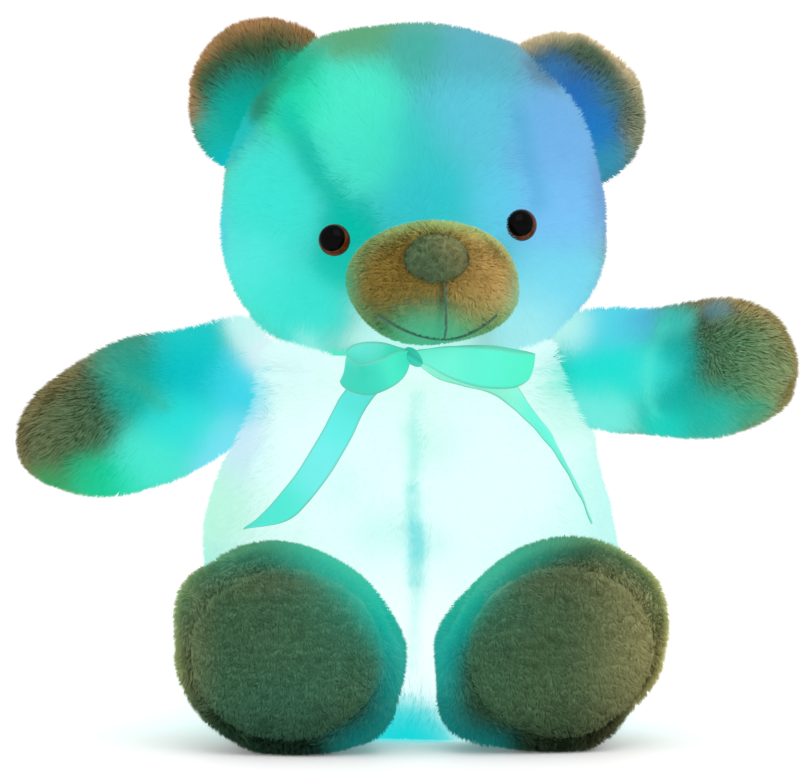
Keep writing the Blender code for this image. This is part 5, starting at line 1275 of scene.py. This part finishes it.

# %% [markdown]
# ## Arms
# The arms are lit near the body, and their paws, past a seam, are not.

# %% Arms
arm_glows = {
    "right": [((-103, -10, 190), 12, 2.2, linear(20, 204, 202)), ((-103, -30, 174), 13, 2.2, linear(0, 194, 200)),
              ((-84, -30, 169), 12, 2.4, linear(62, 218, 238)), ((-75, -10, 200), 10, 4.0, linear(196, 248, 246)),
              ((-66, -25, 186), 11, 4.0, linear(222, 246, 250)),
              ((-108, -30, 150), 13, 2.2, linear(40, 226, 220)), ((-122, -20, 132), 12, 1.6, linear(76, 236, 214)),
              ((-149, -10, 120), 11, 0.6, linear(0, 208, 152)),
              ((-127, -30, 169), 12, 0.6, linear(8, 176, 160)), ((-136, -10, 123), 9, 0.8, linear(36, 230, 192)),
              ((-138, -20, 184), 12, 0.28, linear(40, 160, 140)), ((-172, -10, 116), 11, 0.13, linear(6, 172, 108)),
              ((-92, 0, 140), 14, 2.4, linear(120, 228, 245))],
    "left": [((90, -20, 197), 13, 2.4, linear(84, 214, 234)), ((90, -30, 174), 13, 2.4, linear(24, 228, 214)),
             ((74, -20, 199), 9, 4.0, linear(186, 246, 242)), ((108, -50, 174), 10, 1.4, linear(58, 226, 218)),
             ((88, -30, 154), 11, 2.2, linear(116, 238, 226)), ((118, -60, 183), 9, 0.4, linear(16, 178, 170)),
             ((137, -60, 147), 12, 0.36, linear(24, 190, 172)), ((142, -60, 209), 6, 0.12, linear(90, 150, 170)),
             ((103, -40, 203), 8, 1.0, linear(78, 178, 218)), ((120, -50, 200), 7, 0.6, linear(58, 194, 184)),
             ((118, -60, 160), 11, 0.6, linear(10, 176, 164)), ((117, -50, 147), 9, 1.0, linear(24, 214, 196)),
             ((160, -70, 150), 10, 0.07, linear(24, 180, 150))],
}


def arm_pile(points, out):
    """Plain pile that grows browner towards the end of each paw, and paler on the left one."""
    end = ramp(np.abs(points[:, 0]), 0.140, 0.182)[:, None]
    tone = plain_pile(points, out)
    tone = tone + (END_AND_HIGHLIGHT_TAN - tone) * end * 0.6
    return tone * (1 + 0.62 * ramp(points[:, 0], 0.120, 0.156)[:, None])


def front_of(form, places, count=24):
    """Points on the front of any form, over a run through places (x, z) in millimetres, from a fine grid."""
    turn, way = np.meshgrid(np.linspace(0, 2 * np.pi, 181), np.linspace(0, 1, 181))
    grid = on_form(form, turn, way).reshape(-1, 3)
    grid = grid[grid[:, 1] < np.median(grid[:, 1])]
    places = np.array(places, float) * MM
    share = np.linspace(0, len(places) - 1, count)
    line = np.stack([np.interp(share, np.arange(len(places)), places[:, k]) for k in (0, 1)], 1)
    return grid[((grid[None, :, (0, 2)] - line[:, None]) ** 2).sum(2).argmin(1)]


def arm_comb(way):
    """Pile that runs along the arm to its paw, and a little down."""
    return lambda points, out: way + (0, 0, -0.35) + 0 * points


# The wrist seams' tones are painted shade, darker than the glow, along each seam's groove.
WRIST_SEAMS = {"right": (((-160, 177), (-146, 176), (-136, 172), (-126, 166), (-119, 158)),
                         linear(58, 178, 154), 0.55),
               "left": (((115, 199), (109, 187), (107, 175), (109, 163), (114, 153)),
                        linear(86, 236, 218), 0.60)}
for side, sign in SIDES.items():
    arm = arms[side]
    origin, ways = arm["place"]
    places, tone, strength = WRIST_SEAMS[side]
    wrist = (front_of(arm, places), 0.0036, 0.0010, tone, strength)
    arm_coat = coat(f"arm_{side}_plush", arm, arm_glows[side], arm_comb(ways[2]),
                    pile=arm_pile, seams=[wrist], relief=0.42,
                    hidden_by=[(body_plain, 0.22), (head_plain, 0.10)], around=72, along=56)
    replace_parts(arm_coat, f"arm_{side}")
    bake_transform(arm_coat)

# %% [markdown]
# ## Legs
# The legs point forward and end in wide feet. Their light comes round each foot's edge, most of it from between the
# legs, so the pools that make it are set along the foot's own outline. A foot ends in a sole panel of velvet.

# %% Legs
RIM_ANGLES = (-60, -30, 0, 30, 60, 90, 150, 180)
RIM_TONES = np.array([linear(0, 142, 142), linear(0, 142, 142), linear(0, 182, 178), linear(16, 208, 188),
                      linear(50, 214, 190), linear(90, 200, 168), linear(110, 190, 150), linear(110, 190, 150)])
RIM_STRENGTHS = {"right": (0.030, 0.050, 0.048, 0.060, 0.050, 0.009, 0.005, 0.0),
                 "left": (0.030, 0.060, 0.070, 0.052, 0.030, 0.008, 0.004, 0.0)}
RIM_REACHES = {"right": 8.5, "left": 7.2}
WIDE_POOLS = {"right": ((-18, -120, 85), 24, 0.028, linear(60, 212, 188)),
              "left": ((26, -118, 88), 22, 0.007, linear(50, 205, 180))}
SOLE_WIDE, SOLE_HIGH, SOLE_FROM = 0.043, 0.038, 0.05


def rim_glows(side, sign):
    """Pools a millimetre past a foot's outline, from low on its inside up over its top, and one wide faint pool."""
    leg = legs[side]
    angles = np.arange(-60.0, 181.0, 10.0)
    turns = np.radians(-angles if sign > 0 else 180.0 + angles)
    widest = leg["arc"][leg["rows"][:, 1].argmax()]
    rim, _ = surface(leg, turns, np.full(len(turns), widest), -0.001)
    strengths = np.interp(angles, RIM_ANGLES, RIM_STRENGTHS[side])
    tones = np.stack([np.interp(angles, RIM_ANGLES, RIM_TONES[:, k]) for k in range(3)], 1)
    pools = [(spot / MM + (0, back, 0), RIM_REACHES[side], strength, tone)
             for back in (-26, 6, 38) for spot, strength, tone in zip(rim, strengths, tones)]
    return [*pools, WIDE_POOLS[side]]


def on_sole(leg, points, gap=0.0):
    """Whether points lie on the oval of the foot's end that the sole panel fills."""
    origin, ways = leg["place"]
    x, y, z = ((points - origin) @ ways.T).T
    return (z > SOLE_FROM) & ((x / (SOLE_WIDE + gap)) ** 2 + (y / (SOLE_HIGH + gap)) ** 2 < 1)


def foot_pile(points, out):
    """Olive, browner towards the bear's left, with painted shade that darkens it towards the floor, a painted
    highlight of browner tan across the top, and painted light that makes it paler at the outer sides and brighter
    at the rims.
    """
    # Painted shade: the pile darkens towards the floor.
    low = 1 - ramp(points[:, 2], -0.004, 0.040)[:, None]
    patch = ramp(waves(points, 0.06, 21), -1.0, 1.2)[:, None]
    tone = SOLE_GREEN + (SOLE_OLIVE - SOLE_GREEN) * patch * 0.6
    tone = tone + (SOLE_BROWN - tone) * 0.35 * ramp(points[:, 0], 0.030, 0.070)[:, None]
    # Painted highlight: a band of browner tan across the top of each foot.
    band = np.exp(-(((points[:, 2] - 0.083) / 0.009) ** 2))[:, None]
    # Painted light: paler tan at the outer sides of the feet.
    outer = (0.85 * ramp(points[:, 0], 0.066, 0.114) + 0.55 * ramp(-points[:, 0], 0.084, 0.112))[:, None]
    tone = tone + (END_AND_HIGHLIGHT_TAN - tone) * 0.35 * band
    tone = tone + (SIDE_LIGHT_TAN - tone) * outer
    # Painted light: brighter where the pile faces aside, at the foot's rims.
    rim = 1 - ramp(np.abs(out[:, 1]), 0.10, 0.62)[:, None]
    return tone * (1 - 0.56 * low) * (1 + 0.6 * rim * (1 - low))


def foot_comb(leg):
    """Pile that runs forward along the leg, a little down, and in towards the middle of the sole."""
    origin, ways = leg["place"]

    def comb(points, out):
        along = (points - origin) @ ways[2]
        inwards = origin + along[:, None] * ways[2] - points
        return 0.6 * ways[2] + inwards * 8.0 + (0, 0, -0.40)

    return comb


def sole_comb(points, out):
    """Short pile that all lies down, and a little to the bear's left."""
    return (0.2, 0, -1.0) + 0 * points


for side, sign in SIDES.items():
    leg = legs[side]
    shared = dict(pile=foot_pile, hidden_by=[(body_plain, 0.14)])
    leg_coat = coat(f"leg_{side}_plush", leg, rim_glows(side, sign), foot_comb(leg), length=0.007, relief=0.6,
                    shown=lambda points, leg=leg: ~on_sole(leg, points, -0.001), around=80, along=56, **shared)
    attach(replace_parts(leg_coat, f"leg_{side}"), f"{side}_leg")
    sole_coat = coat(f"sole_{side}_velvet", leg, rim_glows(side, sign), sole_comb,
                     length=0.0030, dense=4.4, width=0.0004, relief=0.3, around=112, along=150,
                     shown=lambda points, leg=leg: on_sole(leg, points),
                     skin_shown=lambda points, leg=leg: on_sole(leg, points, 0.001), **shared)
    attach(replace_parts(sole_coat, f"sole_{side}"), f"{side}_leg")

# %% [markdown]
# ## Mouth
# The mouth is one thread of two plies, sewn down from the nose and out into a smile. It sinks into the pile.

# %% Mouth
def muzzle_front(x, up):
    """How far along the muzzle its surface lies, at a place seen from the front, from the form's own rings."""
    rings = muzzle["rows"][int(muzzle["rows"][:, 1].argmax()):]
    reach = np.hypot(x / np.maximum(rings[:, 1], 1e-4), up / np.maximum(rings[:, 2 if up > 0 else 3], 1e-4))
    return float(np.interp(1.0, reach, rings[:, 0]))


def plied_thread(name, line, radius, pitch):
    """A tube round a line. Its radius is R (0.78 + 0.22 |cos(angle - 2 pi length / pitch)|), so two plies show."""
    along = unit(np.gradient(line, axis=0))
    side = unit(np.cross(along, np.array((0.0, -1.0, 0.02))))
    other = np.cross(along, side)
    length = np.concatenate([[0], np.cumsum(np.linalg.norm(np.diff(line, axis=0), axis=1))])
    angle = np.linspace(0, 2 * np.pi, 17)[None]
    twist = np.abs(np.cos(angle - 2 * np.pi * length[:, None] / pitch))
    taper = np.minimum(1, np.minimum(length, length[-1] - length) / radius + 0.05)[:, None]
    reach = (radius * (0.78 + 0.22 * twist) * taper)[..., None]
    round_it = side[:, None] * np.cos(angle)[..., None] + other[:, None] * np.sin(angle)[..., None]
    grid = line[:, None] + reach * round_it
    obj = new_mesh(name, grid.reshape(-1, 3), quads(grid.shape[:2]))
    obj.data.materials.append(THREAD)
    return obj


THREAD = finish("mouth_thread", linear(38, 92, 74), 0.7, size=0.002, vary=0.2, Sheen_Weight=0.2)
origin, ways = muzzle["place"]


def sewn(places):
    """A line on the muzzle through places (towards the bear's left, up) from its root, in millimetres."""
    local = curve([(-x, -up, 1000 * muzzle_front(x * MM, up * MM) - 0.35) for x, up in places], 16)
    return origin + local @ ways


mouth_line = sewn([(1.4 + 2.4 * k, 1.0 - 27.2 * k) for k in np.linspace(0, 1, 7)])
smile = sewn([(3.8 * (1 - abs(k)) + 28.0 * k, -26.2 + 11.5 * k * k) for k in np.linspace(-1, 1, 13)])
for name, line in (("mouth_line_thread", mouth_line), ("smile_thread", smile)):
    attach(plied_thread(name, line, 0.00070, 0.0032), "head_group")
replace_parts(bpy.data.objects["mouth_line_thread"], "mouth_stitch")
smile_length = float(np.linalg.norm(np.diff(smile, axis=0), axis=1).sum())
print("mouth", round(1000 * smile_length), "mm wide along its thread")

# %% [markdown]
# ## Battery box and lamps
# What the pocket holds keeps the frame's solids: a moulded box with a sliding lid, a switch, three cells, springs
# and plates of bright steel, and the leads with their lamps. Each gets the finish of its real material.

# %% Battery box and lamps
WHITE_PLASTIC = finish("white_plastic", linear(232, 236, 234), 0.42, size=0.006, vary=0.05)
BLACK_PLASTIC = finish("black_plastic", linear(24, 25, 27), 0.45, size=0.003, vary=0.12)
STEEL = finish("bright_steel", linear(196, 198, 200), 0.28, size=0.002, vary=0.15, Metallic=1.0)
SLEEVE = finish("clear_sleeve", linear(210, 220, 216), 0.35, size=0.004, vary=0.08)
LAMP = finish("lamp_resin", linear(150, 240, 236), 0.2, size=0.002, vary=0.08, Emission_Strength=3.0,
              Emission_Color=(*linear(90, 236, 230), 1.0))
TAPE = finish("hook_and_loop", linear(220, 226, 222), 0.9, size=0.0008, vary=0.18)
weave(TAPE, 0.0012, 0.0004)


def cell_finish(bottom, top, split_share=0.72):
    """A shrink sleeve in two plain colours, copper above dark grey, that meet at a share of its height."""
    material = finish("cell_sleeve", None, 0.3, size=0.004)
    tree = material.node_tree
    place, split, level = (tree.nodes.new(kind) for kind in
                           ("ShaderNodeTexCoord", "ShaderNodeSeparateXYZ", "ShaderNodeValToRGB"))
    scale = tree.nodes.new("ShaderNodeMapRange")
    scale.inputs["From Min"].default_value = bottom
    scale.inputs["From Max"].default_value = top
    level.color_ramp.interpolation = "CONSTANT"
    level.color_ramp.elements[0].color = (*linear(46, 48, 52), 1.0)
    level.color_ramp.elements[1].position = split_share
    level.color_ramp.elements[1].color = (*linear(176, 112, 64), 1.0)
    tree.links.new(place.outputs["Object"], split.inputs["Vector"])
    tree.links.new(split.outputs["Z"], scale.inputs["Value"])
    tree.links.new(scale.outputs["Result"], level.inputs["Fac"])
    tree.links.new(level.outputs["Color"], tree.nodes["Principled BSDF"].inputs["Base Color"])
    return material


cell_low, cell_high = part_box("battery_cell_1")
finishes = {"battery_case": WHITE_PLASTIC, "battery_lid": WHITE_PLASTIC, "eye_washer": WHITE_PLASTIC,
            "switch_body": BLACK_PLASTIC, "switch_knob": BLACK_PLASTIC,
            "battery_cell": cell_finish(cell_low.z, cell_high.z),
            "contact": STEEL, "pocket_liner": LINING, "hook_tape": TAPE, "loop_tape": TAPE,
            "body_lead": SLEEVE, "head_lead": SLEEVE, "body_lamp": LAMP, "head_lamp": LAMP}
for name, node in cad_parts.items():
    for start, material in finishes.items():
        if name.startswith(start):
            node.data.materials.clear()
            node.data.materials.append(material)
print("finishes on", sum(name.startswith(tuple(finishes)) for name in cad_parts), "kept solids")

# %% [markdown]
# ## Floor and light
# The lamp stands on a white table before a white wall, in soft even light.

# %% Floor and light
WHITE = (1.0, 1.0, 1.0, 1.0)
TABLE_HALF = 4.0
corners = np.array(((-1, -1, 0), (1, -1, 0), (1, 1, 0), (-1, 1, 0))) * TABLE_HALF
table = new_mesh("table_top", corners, np.array(((0, 1, 2, 3),)), smooth=False)
table.data.materials.append(finish("white_table", (0.94, 0.94, 0.94), 0.6, size=0.4, vary=0.01,
                                   Emission_Color=WHITE, Emission_Strength=0.14))
world = bpy.data.worlds.new("studio")
world.use_nodes = True
backdrop = world.node_tree.nodes["Background"]
backdrop.inputs["Color"].default_value = WHITE
backdrop.inputs["Strength"].default_value = 1.05
bpy.context.scene.world = world
key = bpy.data.objects.new("key_light", bpy.data.lights.new("key_light", "AREA"))
key.data.size = 1.6
key.data.energy = 14.0
key.location = (0.5, -1.8, 1.6)
key.rotation_mode = "QUATERNION"
key.rotation_quaternion = (key.location - LOOK_AT).to_track_quat("Z", "Y")
bpy.context.scene.collection.objects.link(key)
print("floor and light ready")
